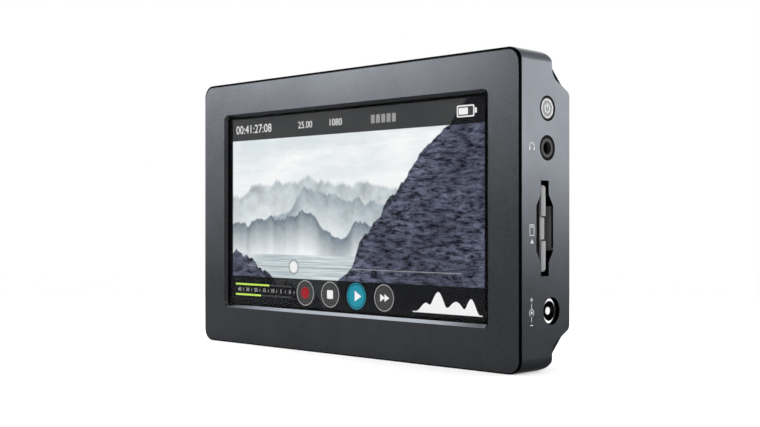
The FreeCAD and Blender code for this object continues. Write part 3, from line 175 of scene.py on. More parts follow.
def reopened(piece):
    """Opens a finished mesh for shaping again."""
    deselect_all()
    piece.select_set(True)
    bpy.context.view_layer.objects.active = piece
    bpy.ops.object.mode_set(mode="EDIT")


def cut_across(level):
    """Cuts an open piece all round at a level."""
    bpy.ops.mesh.select_all(action="SELECT")
    bpy.ops.mesh.bisect(plane_co=(0, 0, level), plane_no=(0, 0, 1), threshold=MERGE_LIMIT)


def merge_doubles():
    """Merges the doubled points of an open piece."""
    bpy.ops.mesh.select_all(action="SELECT")
    bpy.ops.mesh.remove_doubles(threshold=MERGE_LIMIT)


def settle(piece, finish, body=BODY):
    """Closes a piece: outward faces, shading, finish and the body that it rides on."""
    if piece.mode != "EDIT":
        reopened(piece)
    bpy.ops.mesh.select_all(action="SELECT")
    bpy.ops.mesh.normals_make_consistent(inside=False)
    deselect_all()
    piece.select_set(True)
    bpy.ops.object.shade_smooth_by_angle(angle=SMOOTH_ANGLE)
    piece.data.materials.clear()
    piece.data.materials.append(finish)
    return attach(piece, body)


def joined(name, pieces):
    """Several meshes as one piece."""
    deselect_all()
    for piece in pieces:
        piece.select_set(True)
    bpy.context.view_layer.objects.active = pieces[0]
    bpy.ops.object.join()
    pieces[0].name = name
    pieces[0].data.name = name
    return pieces[0]


def copied(piece, shift):
    """A copy of a piece with its own mesh, moved by a shift."""
    twin = piece.copy()
    twin.data = piece.data.copy()
    bpy.context.scene.collection.objects.link(twin)
    twin.data.transform(Matrix.Translation(shift))
    return twin


def in_row(first, count, step):
    """A piece and its copies, each a step in millimetres from the one before."""
    return [first] + [copied(first, Vector(step) * MM * number) for number in range(1, count)]


def turned(piece, angle, centre, axis):
    """A piece turned about a point, its place kept in its mesh."""
    middle = Matrix.Translation(Vector(centre))
    piece.data.transform(middle @ Matrix.Rotation(math.radians(angle), 4, axis) @ middle.inverted())
    return piece


# Camera, lamps, world and floor
def set_camera():
    """The photograph's view."""
    deselect_all()
    bpy.ops.object.camera_add(location=EYE, rotation=(math.radians(90 + PITCH), 0, math.radians(YAW)))
    camera = bpy.context.active_object
    camera.data.sensor_width = SENSOR_WIDTH
    camera.data.lens = FOCAL_PIXELS * SENSOR_WIDTH / PICTURE_WIDTH
    camera.data.shift_y = DROP_PIXELS / PICTURE_WIDTH
    camera.data.clip_start = 0.01
    bpy.context.scene.camera = camera


def soft_lamp(name, place, aim, width, height, radiance):
    """A rectangular soft lamp of an even brightness, turned to a point."""
    turn = (Vector(aim) - Vector(place)).to_track_quat("-Z", "Y").to_euler()
    bpy.ops.object.light_add(type="AREA", location=place, rotation=turn)
    lamp = bpy.context.active_object
    lamp.name = name
    lamp.data.shape = "RECTANGLE"
    lamp.data.size = width
    lamp.data.size_y = height
    lamp.data.energy = radiance * math.pi * width * height
    lamp.visible_camera = False


class Graph:
    """Short ways to add and link shader nodes in one tree."""

    def __init__(self, tree):
        self.tree = tree

    def feed(self, socket, value):
        """Links an output to a socket, or sets a plain value on it."""
        if isinstance(value, bpy.types.NodeSocket):
            self.tree.links.new(value, socket)
        else:
            socket.default_value = value

    def add(self, kind, inputs=None, **settings):
        """A node with its settings, and its inputs by name or number."""
        node = self.tree.nodes.new(kind)
        for key, value in settings.items():
            setattr(node, key, value)
        for key, value in (inputs or {}).items():
            self.feed(node.inputs[key], value)
        return node

    def place(self):
        """Object coordinates."""
        return self.add("ShaderNodeTexCoord").outputs["Object"]

    def facing(self):
        """Surface normal in the object's own axes."""
        return self.add("ShaderNodeTexCoord").outputs["Normal"]

    def axes(self, vector):
        """The three parts of a vector."""
        return self.add("ShaderNodeSeparateXYZ", {0: vector}).outputs

    def math(self, operation, first, second=0.0, clamp=False):
        """One step of arithmetic."""
        node = self.add("ShaderNodeMath", {0: first, 1: second}, operation=operation, use_clamp=clamp)
        return node.outputs[0]

    def scaled(self, value, low, high, to_low=0.0, to_high=1.0, smooth=False):
        """A value moved from one range to another, held at its ends."""
        kind = "SMOOTHSTEP" if smooth else "LINEAR"
        return self.add("ShaderNodeMapRange", {0: value, 1: low, 2: high, 3: to_low, 4: to_high},
                        interpolation_type=kind).outputs[0]

    def mapped(self, vector, scale=(1, 1, 1), shift=(0, 0, 0), turn=(0, 0, 0)):
        """A vector stretched, turned and moved."""
        return self.add("ShaderNodeMapping", {"Vector": vector, "Scale": scale, "Location": shift,
                                              "Rotation": turn}).outputs[0]

    def noise(self, vector, scale, detail=2.0, roughness=0.5):
        """Cloudy noise from 0 to 1."""
        return self.add("ShaderNodeTexNoise", {"Vector": vector, "Scale": scale, "Detail": detail,
                                               "Roughness": roughness}).outputs[0]

    def line_noise(self, place, scale, detail=2.0, roughness=0.5):
        """Noise along one line, from 0 to 1."""
        return self.add("ShaderNodeTexNoise", {"W": place, "Scale": scale, "Detail": detail,
                                               "Roughness": roughness}, noise_dimensions="1D").outputs[0]

    def mix(self, share, first, second):
        """A colour between two colours."""
        node = self.add("ShaderNodeMix", {0: share}, data_type="RGBA")
        self.feed(node.inputs[6], first)
        self.feed(node.inputs[7], second)
        return node.outputs[2]

    def within(self, value, low, high):
        """1 between two limits and 0 outside them."""
        above = self.math("GREATER_THAN", value, low)
        return self.math("MULTIPLY", above, self.math("LESS_THAN", value, high))

    def seen(self):
        """1 for rays that show the white around the object: to the eye, in gloss and through glass."""
        rays = self.add("ShaderNodeLightPath").outputs
        shown = self.math("ADD", rays["Is Camera Ray"], rays["Is Glossy Ray"])
        return self.math("ADD", shown, rays["Is Transmission Ray"], clamp=True)

    def bump(self, height, strength, distance):
        """A normal out of a height."""
        return self.add("ShaderNodeBump", {"Height": height, "Strength": strength,
                                           "Distance": distance}).outputs[0]


def rgb(red, green, blue):
    """An opaque colour."""
    return (red, green, blue, 1.0)


def grey(level):
    """An opaque neutral colour."""
    return rgb(level, level, level)


def set_world():
    """White where it is seen or mirrored, a plain soft level as light."""
    world = bpy.data.worlds.new("studio")
    world.use_nodes = True
    bpy.context.scene.world = world
    world.node_tree.nodes.clear()
    graph = Graph(world.node_tree)
    seen = graph.seen()
    soft = graph.add("ShaderNodeBackground", {"Color": grey(AMBIENT)})
    white = graph.add("ShaderNodeBackground", {"Color": grey(1.0)})
    both = graph.add("ShaderNodeMixShader", {0: seen, 1: soft.outputs[0], 2: white.outputs[0]})
    graph.add("ShaderNodeOutputWorld", {"Surface": both.outputs[0]})


def floor_finish():
    """Pale floor that keeps the shadow near the object and runs into the white around it."""
    material = bpy.data.materials.new("pale_floor")
    material.use_nodes = True
    material.node_tree.nodes.clear()
    graph = Graph(material.node_tree)
    place = graph.place()
    away = graph.add("ShaderNodeVectorMath", {0: place}, operation="LENGTH").outputs["Value"]
    tone = graph.noise(place, 6.0, 3.0)
    pale = graph.mix(tone, grey(0.88), grey(0.92))
    matt = graph.add("ShaderNodeBsdfDiffuse", {"Color": pale})
    white = graph.add("ShaderNodeEmission", {"Color": grey(1.0)})
    seen = graph.seen()
    far = graph.scaled(away, FADE_START, FADE_END, FADE_NEAR, 1.0, smooth=True)
    both = graph.add("ShaderNodeMixShader", {0: graph.math("MULTIPLY", far, seen), 1: matt.outputs[0],
                                             2: white.outputs[0]})
    graph.add("ShaderNodeOutputMaterial", {"Surface": both.outputs[0]})
    return material


def lay_floor():
    """A wide, flat and round floor just under the object, with a rim."""
    deselect_all()
    bpy.ops.mesh.primitive_circle_add(vertices=FLOOR_CORNERS, radius=FLOOR_RADIUS, fill_type="NGON",
                                      location=(0, 0, -FLOOR_DROP))
    floor = opened("studio_floor")
    bpy.ops.mesh.inset(thickness=FLOOR_RIM)
    bpy.ops.object.mode_set(mode="OBJECT")
    floor.data.materials.append(floor_finish())


# Lamps, in metres: name, place, aim, width, height and brightness
FLOOR_MIDDLE = (0, 0, 0)
CASE_MIDDLE = (0, 0, 0.04)
FRONT_MIDDLE = (0, bezel_low.y, SCREEN_MIDDLE.z)
SIDE_MIDDLE = (RIGHT_FACE, 0, SCREEN_MIDDLE.z)
LAMPS = (
    ("overhead_lamp", (0.1, 0.1, 1.2), FLOOR_MIDDLE, 1.2, 1.2, 1.2),
    ("front_left_strip", (-0.73, -0.44, 0.30), FRONT_MIDDLE, 0.70, 0.21, 24.5),
    ("front_left_low", (-0.83, -0.37, 0.09), FRONT_MIDDLE, 0.27, 0.14, 12.0),
    ("rear_right_strip", (0.50, 0.66, 0.235), SIDE_MIDDLE, 0.62, 0.30, 15.5),
    ("rear_right_low", (0.44, 0.70, 0.07), SIDE_MIDDLE, 0.4, 0.10, 6.5),
    ("upper_left_lamp", (-0.95, -0.05, 0.95), CASE_MIDDLE, 0.4, 0.3, 22.0),
    ("rear_left_fill", (-0.95, 0.95, 0.45), CASE_MIDDLE, 1.0, 0.7, 1.4),
    ("front_right_fill", (0.95, -0.95, 0.50), CASE_MIDDLE, 1.0, 0.6, 1.4),
    ("rear_high_fill", (0.15, 1.0, 0.71), CASE_MIDDLE, 1.4, 0.5, 5.0),
    ("front_fill", (0.15, -1.4, 0.62), CASE_MIDDLE, 0.7, 0.6, 2.0),
)

bpy.context.scene.view_settings.view_transform = "Standard"
set_camera()
set_world()
lay_floor()
for lamp_values in LAMPS:
    soft_lamp(*lamp_values)


# Shared surface effects as node groups
def effect(name, inputs, outputs):
    """An empty node group with named sockets, its input node's outputs and its output node."""
    tree = bpy.data.node_groups.new(name, "ShaderNodeTree")
    for label, kind in inputs:
        tree.interface.new_socket(name=label, in_out="INPUT", socket_type="NodeSocket" + kind)
    for label, kind in outputs:
        tree.interface.new_socket(name=label, in_out="OUTPUT", socket_type="NodeSocket" + kind)
    graph = Graph(tree)
    return tree, graph, graph.add("NodeGroupInput").outputs, graph.add("NodeGroupOutput").inputs


def make_grain():
    """Fine speckle, broad clouds and a height for blasted metal and moulded plastic."""
    tree, graph, given, out = effect(
        "fine_grain", [("Place", "Vector"), ("Scale", "Float")],
        [("Speckle", "Float"), ("Cloud", "Float"), ("Height", "Float")])
    speckle = graph.noise(given["Place"], given["Scale"], 1.5, 0.6)
    graph.feed(out["Speckle"], graph.scaled(speckle, 0.3, 0.7))
    broad = graph.noise(given["Place"], graph.math("DIVIDE", given["Scale"], 90.0), 4.0, 0.6)
    graph.feed(out["Cloud"], graph.scaled(broad, 0.3, 0.7))
    coarser = graph.math("MULTIPLY", given["Scale"], 0.6)
    graph.feed(out["Height"], graph.noise(given["Place"], coarser, 3.0, 0.65))
    return tree


def make_dust():
    """A mask of settled dust on what faces up."""
    tree, graph, given, out = effect(
        "settled_dust", [("Place", "Vector"), ("Facing", "Vector"), ("Amount", "Float")],
        [("Dust", "Float")])
    up = graph.scaled(graph.axes(given["Facing"])[2], 0.55, 1.0, smooth=True)
    patches = graph.scaled(graph.noise(given["Place"], 160.0, 6.0, 0.7), 0.42, 0.72)
    specks = graph.scaled(graph.noise(given["Place"], 1900.0, 2.0), 0.66, 0.74)
    cover = graph.math("ADD", graph.math("MULTIPLY", patches, 0.5), specks, clamp=True)
    settled = graph.math("MULTIPLY", up, cover)
    graph.feed(out["Dust"], graph.math("MULTIPLY", settled, given["Amount"]))
    return tree


def make_handling():
    """Hairline marks along a direction, and soft smudges."""
    tree, graph, given, out = effect(
        "handling_marks", [("Place", "Vector")], [("Hairline", "Float"), ("Smudge", "Float")])
    drawn = graph.mapped(given["Place"], scale=(160, 3200, 3200), turn=(0.2, 0.5, 0.3))
    graph.feed(out["Hairline"], graph.scaled(graph.noise(drawn, 1.0, 2.0), 0.62, 0.8))
    graph.feed(out["Smudge"], graph.scaled(graph.noise(given["Place"], 70.0, 3.0, 0.6), 0.45, 0.75))
    return tree


GRAIN = make_grain()
DUST = make_dust()
HANDLING = make_handling()

# Grain of plastics and plain metals, and of the blasted case and the inks, and the plastics' relief and dust
FINE_GRAIN = 2600.0
FINEST_GRAIN = 5200.0
PLASTIC_RELIEF = 0.25
DUST_TONE = rgb(0.35, 0.34, 0.33)

# Power button: where the painted shade of its outer edge starts and is full, and its tone
BUTTON_EDGE_START = 2.66 * MM
BUTTON_EDGE_FULL = 2.76 * MM
BUTTON_EDGE_SHADE = grey(0.0012)

# Case: the metal's tones and the tint of its sheen
CASE_DARK = rgb(0.0202, 0.0215, 0.0236)
CASE_LIGHT = rgb(0.0326, 0.0347, 0.0381)
CASE_TINT = grey(0.46)

# Bezel: the painted shade along its outer edge, which grows towards the top, and its polished window bevel
RIM_PAINTED_SHADE = grey(0.0009)
RIM_START = 0.55 * MM
RIM_FULL = 0.30 * MM
TOP_RIM_START = 6 * MM
TOP_RIM_FULL = 2 * MM
TOP_RIM_GAIN = 0.35 * MM
BEVEL_REACH = 62 * MM
BEVEL_POLISH = 0.12

# Wells in the right side, given plain tones, near-black painted shade in the inlet and jack wells: depth at
# which their tones start, reach inwards and back, and each one's low and high level and tone
WELL_DEPTH = 0.2 * MM
WELL_LIP = 0.15 * MM
WELL_FLOOR = 60 * MM
WELL_BACK = 7.2 * MM
SHADED_WELLS = (
    (25.5, 53.4, 0.030),
    (11.5, 21.6, 0.0006),
    (57.9, 65.3, 0.0006),
)


class Finish(Graph):
    """A material under way, with its principled shader and the shared effects at hand."""

    def __init__(self, name, **constants):
        self.material = bpy.data.materials.new(name)
        self.material.use_nodes = True
        super().__init__(self.material.node_tree)
        self.shader = self.tree.nodes["Principled BSDF"]
        self.where = self.place()
        for key, value in constants.items():
            self.set(key.replace("_", " ").title().replace("Ior", "IOR"), value)

    def set(self, socket, value):
        """A shader input, linked or plain."""
        self.feed(self.shader.inputs[socket], value)

    def use(self, group, **inputs):
        """A shared effect placed in this material."""
        node = self.add("ShaderNodeGroup", node_tree=group)
        for key, value in inputs.items():
            self.feed(node.inputs[key], value)
        return node.outputs

    def grain(self, scale):
        """The fine grain at a scale."""
        return self.use(GRAIN, Place=self.where, Scale=scale)

    def tone(self, grain, cloud_share):
        """Broad clouds and fine speckle as one tone from 0 to 1."""
        clouds = self.math("MULTIPLY", grain["Cloud"], cloud_share)
        specks = self.math("MULTIPLY", grain["Speckle"], 1 - cloud_share)
        return self.math("ADD", clouds, specks)

    def dust(self, amount):
        """The settled dust of an amount."""
        return self.use(DUST, Place=self.where, Facing=self.facing(), Amount=amount)["Dust"]


def moulded(name, dark, light, roughness, dust=0.1, shine=0.5):
    """Moulded plastic or rubber with a spark-eroded grain, cloudy tone and a little dust."""
    finish = Finish(name, specular_ior_level=shine)
    grain = finish.grain(FINE_GRAIN)
    colour = finish.mix(finish.tone(grain, 0.6), dark, light)
    finish.set("Base Color", finish.mix(finish.dust(dust), colour, DUST_TONE))
    finish.set("Roughness", finish.scaled(grain["Speckle"], 0.0, 1.0, roughness - 0.06, roughness + 0.08))
    finish.set("Normal", finish.bump(grain["Height"], PLASTIC_RELIEF, 0.04 * MM))
    return finish.material


def plated(name, dark, light, roughness, relief=0.06, edge=1.0, shade=None):
    """Metal with a fine grain, hairline marks and smudges in its gloss, and painted shade where it has one.
    """
    finish = Finish(name, metallic=1.0, specular_tint=grey(edge))
    grain = finish.grain(FINE_GRAIN)
    marks = finish.use(HANDLING, Place=finish.where)
    colour = finish.mix(finish.tone(grain, 0.5), dark, light)
    colour = finish.mix(finish.math("MULTIPLY", marks["Hairline"], 0.35), colour, light)
    if shade:
        # Painted shade, as at the power button's outer edge
        colour = finish.mix(shade(finish), colour, BUTTON_EDGE_SHADE)
    finish.set("Base Color", colour)
    rough = finish.scaled(grain["Speckle"], 0.0, 1.0, roughness * 0.85, roughness * 1.15)
    finish.set("Roughness", finish.math("ADD", rough, finish.math("MULTIPLY", marks["Smudge"], 0.05)))
    finish.set("Normal", finish.bump(grain["Height"], relief, 0.02 * MM))
    return finish.material


def button_edge_shade(finish):
    """The outer edge of the power button, darkened with painted shade."""
    _, y, z = finish.axes(finish.where)
    across = finish.math("POWER", finish.math("SUBTRACT", y, BUTTON_MIDDLE.y), 2.0)
    level = finish.math("POWER", finish.math("SUBTRACT", z, BUTTON_MIDDLE.z), 2.0)
    away = finish.math("SQRT", finish.math("ADD", across, level))
    return finish.scaled(away, BUTTON_EDGE_START, BUTTON_EDGE_FULL, smooth=True)


def past_corners(finish, x, z):
    """How far a place on the bezel lies past the start of its rounded corners, across and up or down."""
    reach = (bezel_high - bezel_low) / 2
    across = finish.math("SUBTRACT", finish.math("ABSOLUTE", x), reach.x - CORNER_RADIUS)
    level = finish.math("ABSOLUTE", finish.math("SUBTRACT", z, (bezel_low.z + bezel_high.z) / 2))
    return across, finish.math("SUBTRACT", level, reach.z - CORNER_RADIUS)


def painted_rim_shade(finish, across, level, z):
    """Painted shade along the outer edge of the bezel, wider along the top."""
    outer = finish.math("POWER", finish.math("MAXIMUM", across, 0.0), 2.0)
    outer = finish.math("ADD", outer, finish.math("POWER", finish.math("MAXIMUM", level, 0.0), 2.0))
    inner = finish.math("MINIMUM", finish.math("MAXIMUM", across, level), 0.0)
    edge = finish.math("ADD", finish.math("SQRT", outer), inner)
    top = finish.scaled(z, bezel_high.z - TOP_RIM_START, bezel_high.z - TOP_RIM_FULL, 0.0, TOP_RIM_GAIN)
    edge = finish.math("ADD", edge, top)
    return finish.scaled(edge, CORNER_RADIUS - RIM_START, CORNER_RADIUS - RIM_FULL, smooth=True)


def window_bevel(finish, sloped, x, level):
    """The slope round the screen, which lies well inside the outer edge."""
    bevel = finish.scaled(sloped, -0.95, -0.85, smooth=True)
    across = finish.math("LESS_THAN", finish.math("ABSOLUTE", x), BEVEL_REACH)
    bevel = finish.math("MULTIPLY", bevel, across)
    return finish.math("MULTIPLY", bevel, finish.math("LESS_THAN", level, -CORNER_RADIUS))


def behind_right_face(finish, x, y):
    """What lies under the right face, before the rear cove."""
    under = finish.scaled(x, RIGHT_FACE - WELL_DEPTH, RIGHT_FACE - WELL_LIP, 1.0, 0.0)
    under = finish.math("MULTIPLY", under, finish.math("GREATER_THAN", x, WELL_FLOOR))
    return finish.math("MULTIPLY", under, finish.math("LESS_THAN", y, WELL_BACK))


def case_metal(name, edged):
    """Blasted and anodised dark metal, for the housing with painted shade in its wells or for the bezel with
    painted shade along its edges.
    """
    finish = Finish(name, metallic=1.0, specular_tint=CASE_TINT)
    grain = finish.grain(FINEST_GRAIN)
    marks = finish.use(HANDLING, Place=finish.where)
    colour = finish.mix(finish.tone(grain, 0.35), CASE_DARK, CASE_LIGHT)
    colour = finish.mix(finish.math("MULTIPLY", finish.dust(0.25), 0.3), colour, grey(0.1))
    x, y, z = finish.axes(finish.where)
    if edged:
        across, level = past_corners(finish, x, z)
        # Painted shade along the bezel's outer edge
        colour = finish.mix(painted_rim_shade(finish, across, level, z), colour, RIM_PAINTED_SHADE)
    else:
        # Painted shade inside the wells of the right side
        under = behind_right_face(finish, x, y)
        for low, high, shade in SHADED_WELLS:
            well = finish.math("MULTIPLY", under, finish.within(z, low * MM, high * MM))
            colour = finish.mix(well, colour, grey(shade))
    finish.set("Base Color", colour)
    rough = finish.scaled(grain["Speckle"], 0.0, 1.0, 0.25, 0.31)
    rough = finish.math("ADD", rough, finish.math("MULTIPLY", marks["Smudge"], 0.03))
    facing = finish.axes(finish.facing())
    rough = finish.math("ADD", rough, finish.scaled(facing[2], 0.9, 0.99, 0.0, 0.4, smooth=True))
    if edged:
        bevel = window_bevel(finish, facing[1], x, level)
        rough = finish.math("SUBTRACT", rough, finish.math("MULTIPLY", bevel, BEVEL_POLISH))
    finish.set("Roughness", rough)
    finish.set("Normal", finish.bump(grain["Height"], 0.05, 0.02 * MM))
    return finish.material


def screen_glass():
    """Clear coated glass with a faint wipe pattern in its tint."""
    finish = Finish("screen_glass", transmission_weight=1.0, ior=1.1, roughness=0.0)
    marks = finish.use(HANDLING, Place=finish.where)
    finish.set("Base Color", finish.mix(marks["Smudge"], grey(1.0), rgb(0.985, 0.99, 0.995)))
    return finish.material


def lit_picture():
    """The lit panel: a misty valley scene between two dark bars, inside a black border."""
    finish = Finish("lit_picture", roughness=0.4, specular_ior_level=0.0)
    spread = (1 / PICTURE_HALF_WIDTH, 1.0, 1 / PICTURE_HALF_HEIGHT)
    flat = finish.mapped(finish.where, scale=spread, shift=(0, 0, -SCREEN_MIDDLE.z / PICTURE_HALF_HEIGHT))
    across, _, up = finish.axes(flat)

    def ridge(base, slope, swing, scale, seed, soft):
        """A rough skyline and the mask of what lies under it."""
        along = finish.math("ADD", across, seed)
        swell = finish.math("SUBTRACT", finish.line_noise(along, scale, 6.0, 0.55), 0.5)
        swell = finish.math("MULTIPLY", swell, swing)
        skyline = finish.math("ADD", finish.math("ADD", finish.math("MULTIPLY", across, slope), base), swell)
        return skyline, finish.scaled(finish.math("SUBTRACT", skyline, up), -soft, soft, smooth=True)

    sky = finish.mix(finish.scaled(up, -0.2, 0.9), rgb(0.93, 0.95, 0.95), rgb(0.66, 0.73, 0.76))
    haze = finish.noise(finish.mapped(flat, scale=(1.0, 1.0, 2.6)), 1.5, 6.0, 0.6)
    picture = finish.mix(finish.scaled(haze, 0.42, 0.66), sky, grey(0.96))
    mist = rgb(0.86, 0.90, 0.91)
    for base, slope, swing, scale, seed, soft, tone, depth in RANGES:
        skyline, cover = ridge(base, slope, swing, scale, seed, soft)
        fade = finish.scaled(finish.math("SUBTRACT", skyline, up), 0.0, depth)
        folded = finish.mapped(flat, scale=(3.2, 1.0, 2.4), turn=(0, 0.6, 0))
        folds = finish.scaled(finish.noise(folded, 2.0 + seed * 0.1, 8.0, 0.62), 0.35, 0.65)
        hollow = rgb(*(HOLLOW_SHARE * part for part in tone[:3]))
        slope_tone = finish.mix(folds, tone, hollow)
        picture = finish.mix(cover, picture, finish.mix(fade, slope_tone, mist))
    streaks = finish.noise(finish.mapped(flat, scale=(1.2, 1.0, 30.0)), 2.2, 5.0, 0.6)
    water = finish.mix(finish.scaled(streaks, 0.35, 0.65), rgb(0.34, 0.42, 0.46), rgb(0.74, 0.80, 0.81))
    picture = finish.mix(finish.scaled(up, WATER_LINE, WATER_LINE + WATER_SOFTNESS, 1.0, 0.0), picture, water)
    coarse = finish.scaled(finish.noise(finish.mapped(flat, turn=(0, 0.5, 0)), 2.4, 6.0, 0.6), 0.3, 0.7)
    fine = finish.noise(finish.mapped(flat, scale=(1.6, 1.0, 3.0), turn=(0, 0.35, 0)), 8.0, 10.0, 0.78)
    fine = finish.scaled(fine, 0.42, 0.61)
    rough = finish.math("MULTIPLY", fine, finish.scaled(coarse, 0.0, 1.0, 0.25, 1.0))
    stone = finish.mix(rough, rgb(0.006, 0.007, 0.014), rgb(0.205, 0.22, 0.325))
    for base, slope, swing, scale, seed in CLIFFS:
        _, cover = ridge(base, slope, swing, scale, seed, CLIFF_SOFTNESS)
        picture = finish.mix(cover, picture, stone)
    for edge, below, above in ((TOP_BAR_EDGE, 0.0, TOP_BAR_COVER), (BOTTOM_BAR_EDGE, BOTTOM_BAR_COVER, 0.0)):
        bar = finish.scaled(up, edge, edge + BAR_SOFTNESS, below, above)
        picture = finish.mix(bar, picture, BAR_TONE)
    inside = finish.math("LESS_THAN", finish.math("ABSOLUTE", across), 1.0)
    inside = finish.math("MULTIPLY", inside, finish.math("LESS_THAN", finish.math("ABSOLUTE", up), 1.0))
    finish.set("Emission Color", finish.mix(inside, grey(0.0), picture))
    finish.set("Emission Strength", 1.0)
    finish.set("Base Color", finish.mix(finish.noise(finish.where, 900.0), grey(0.0006), grey(0.0012)))
    return finish.material


def lit(name, colour, shade):
    """A lit mark on the screen, with the slight unevenness of its pixels."""
    finish = Finish(name, roughness=0.5, specular_ior_level=0.0)
    cells = finish.noise(finish.where, 4500.0, 1.0)
    finish.set("Emission Color", finish.mix(finish.scaled(cells, 0.3, 0.7), shade, colour))
    finish.set("Emission Strength", 1.0)
    finish.set("Base Color", finish.mix(cells, grey(0.004), grey(0.008)))
    return finish.material


def printed(name, colour, shade):
    """Printed ink with a worn, uneven cover."""
    finish = Finish(name)
    grain = finish.grain(FINEST_GRAIN)
    finish.set("Base Color", finish.mix(grain["Speckle"], shade, colour))
    finish.set("Roughness", finish.scaled(grain["Cloud"], 0.0, 1.0, 0.5, 0.65))
    return finish.material


def board_mask():
    """Green solder mask with paler tracks and plated dots."""
    finish = Finish("board_green")
    cells = finish.add("ShaderNodeTexVoronoi", {"Vector": finish.where, "Scale": 420.0},
                       feature="DISTANCE_TO_EDGE", distance="CHEBYCHEV").outputs[0]
    tracks = finish.scaled(cells, 0.04, 0.06, 1.0, 0.0)
    dots = finish.add("ShaderNodeTexVoronoi", {"Vector": finish.where, "Scale": 300.0}).outputs[0]
    dots = finish.scaled(dots, 0.10, 0.14, 1.0, 0.0)
    plain = finish.mix(tracks, rgb(0.008, 0.06, 0.025), rgb(0.03, 0.15, 0.07))
    finish.set("Base Color", finish.mix(dots, plain, rgb(0.7, 0.55, 0.25)))
    finish.set("Roughness", finish.scaled(tracks, 0.0, 1.0, 0.35, 0.45))
    finish.set("Normal", finish.bump(tracks, 0.3, 0.03 * MM))
    return finish.material


def amber_film():
    """Amber film with copper tracks along its length."""
    finish = Finish("flex_amber")
    wave = finish.math("SINE", finish.math("MULTIPLY", finish.axes(finish.where)[0], 12000.0))
    tracks = finish.scaled(wave, -0.2, 0.2)
    finish.set("Base Color", finish.mix(tracks, rgb(0.42, 0.17, 0.03), rgb(0.62, 0.32, 0.08)))
    finish.set("Roughness", finish.scaled(tracks, 0.0, 1.0, 0.28, 0.36))
    return finish.material


bezel_finish = case_metal("bezel_metal", True)
FINISHES = {
    "case_metal": case_metal("case_metal", False),
    "button_metal": plated("button_metal", rgb(0.016, 0.0167, 0.0174), rgb(0.0217, 0.0224, 0.0238), 0.36,
                           shade=button_edge_shade),
    "screen_glass": screen_glass(),
    "black_rubber": moulded("black_rubber", grey(0.005), grey(0.008), 0.85, dust=0.02, shine=0.004),
    "display_panel": lit_picture(),
    "white_plastic": moulded("white_plastic", grey(0.66), grey(0.74), 0.5),
    "sheet_steel": plated("sheet_steel", grey(0.48), grey(0.58), 0.32),
    "board_green": board_mask(),
    "insert_steel": plated("insert_steel", grey(0.22), grey(0.29), 0.52, edge=0.55),
    "screw_steel": plated("screw_steel", grey(0.40), grey(0.50), 0.3),
    "screw_black": plated("screw_black", grey(0.022), grey(0.034), 0.6, edge=0.48),
    "chip_black": moulded("chip_black", grey(0.018), grey(0.03), 0.55),
    "pad_grey": moulded("pad_grey", rgb(0.32, 0.34, 0.37), rgb(0.40, 0.42, 0.45), 0.8),
    "sink_metal": plated("sink_metal", grey(0.58), grey(0.68), 0.3),
    "flex_amber": amber_film(),
    "black_plastic": moulded("black_plastic", grey(0.005), grey(0.009), 0.8, dust=0.02, shine=0.004),
    "fan_plastic": moulded("fan_plastic", grey(0.018), grey(0.028), 0.45),
    "tray_plastic": moulded("tray_plastic", rgb(0.012, 0.012, 0.013), rgb(0.018, 0.018, 0.019), 0.55,
                            dust=0.05, shine=0.2),
    "latch_plastic": moulded("latch_plastic", rgb(0.045, 0.045, 0.048), rgb(0.065, 0.065, 0.069), 0.5),
    "contact_gold": plated("contact_gold", rgb(0.74, 0.50, 0.18), rgb(0.88, 0.66, 0.30), 0.22),
    "sleeve_metal": moulded("sleeve_metal", grey(0.024), grey(0.033), 0.5, dust=0.0, shine=0.03),
    "card_grey": moulded("card_grey", rgb(0.15, 0.15, 0.156), rgb(0.19, 0.19, 0.196), 0.6,
                         dust=0.05, shine=0.1),
    "chrome_metal": plated("chrome_metal", grey(0.72), grey(0.82), 0.10, relief=0.02),
}


def dress_nodes():
    """Gives every piece of the frame the finish of its slot in the record."""
    for subpart in frame["record"]["subparts"]:
        for holder in nodes[subpart["node"]].material_slots:
            holder.material = FINISHES[subpart["material_slot"]]
    for holder in nodes["front_bezel"].material_slots:
        holder.material = bezel_finish


dress_nodes()

# Flat marks: each side has its turn for a new sheet and the way that it faces
FRONT = ((math.radians(90), 0, 0), Vector((0, -1, 0)))
RIGHT = ((math.radians(90), 0, math.radians(90)), Vector((1, 0, 0)))
LEFT = ((math.radians(90), 0, math.radians(-90)), Vector((-1, 0, 0)))
BACK = ((math.radians(90), 0, math.radians(180)), Vector((0, 1, 0)))


def raised(piece, side):
    """Gives an open sheet its thickness."""
    bpy.ops.mesh.select_all(action="SELECT")
    bpy.ops.mesh.extrude_region_move(TRANSFORM_OT_translate={"value": side[1] * PRINT})
    deselect_all()
    return piece


def flat_plate(name, side, centre, width, height, corner=0.0):
    """A thin plate, with rounded corners where they have a radius."""
    deselect_all()
    bpy.ops.mesh.primitive_plane_add(size=1, location=centre, rotation=side[0])
    bpy.context.active_object.scale = (width * MM, height * MM, 1)
    piece = opened(name)
    if corner:
        bpy.ops.mesh.bevel(affect="VERTICES", offset=corner * MM, segments=4)
    else:
        bpy.ops.mesh.subdivide(number_cuts=1)
    return raised(piece, side)


def flat_disc(name, side, centre, radius, hole=0.0, corners=48, keep=None):
    """A thin disc, a ring where it has a hole, or the part of a ring that a test on the place keeps."""
    deselect_all()
    bpy.ops.mesh.primitive_circle_add(vertices=corners, radius=radius * MM, fill_type="NGON",
                                      location=centre, rotation=side[0])
    piece = opened(name)
    if hole:
        bpy.ops.mesh.inset(thickness=(radius - hole) * MM)
        bpy.ops.mesh.delete(type="FACE")
    if keep:
        pick(piece, "FACE", lambda face: not keep(face.calc_center_median() / MM))
        bpy.ops.mesh.delete(type="FACE")
    return raised(piece, side)


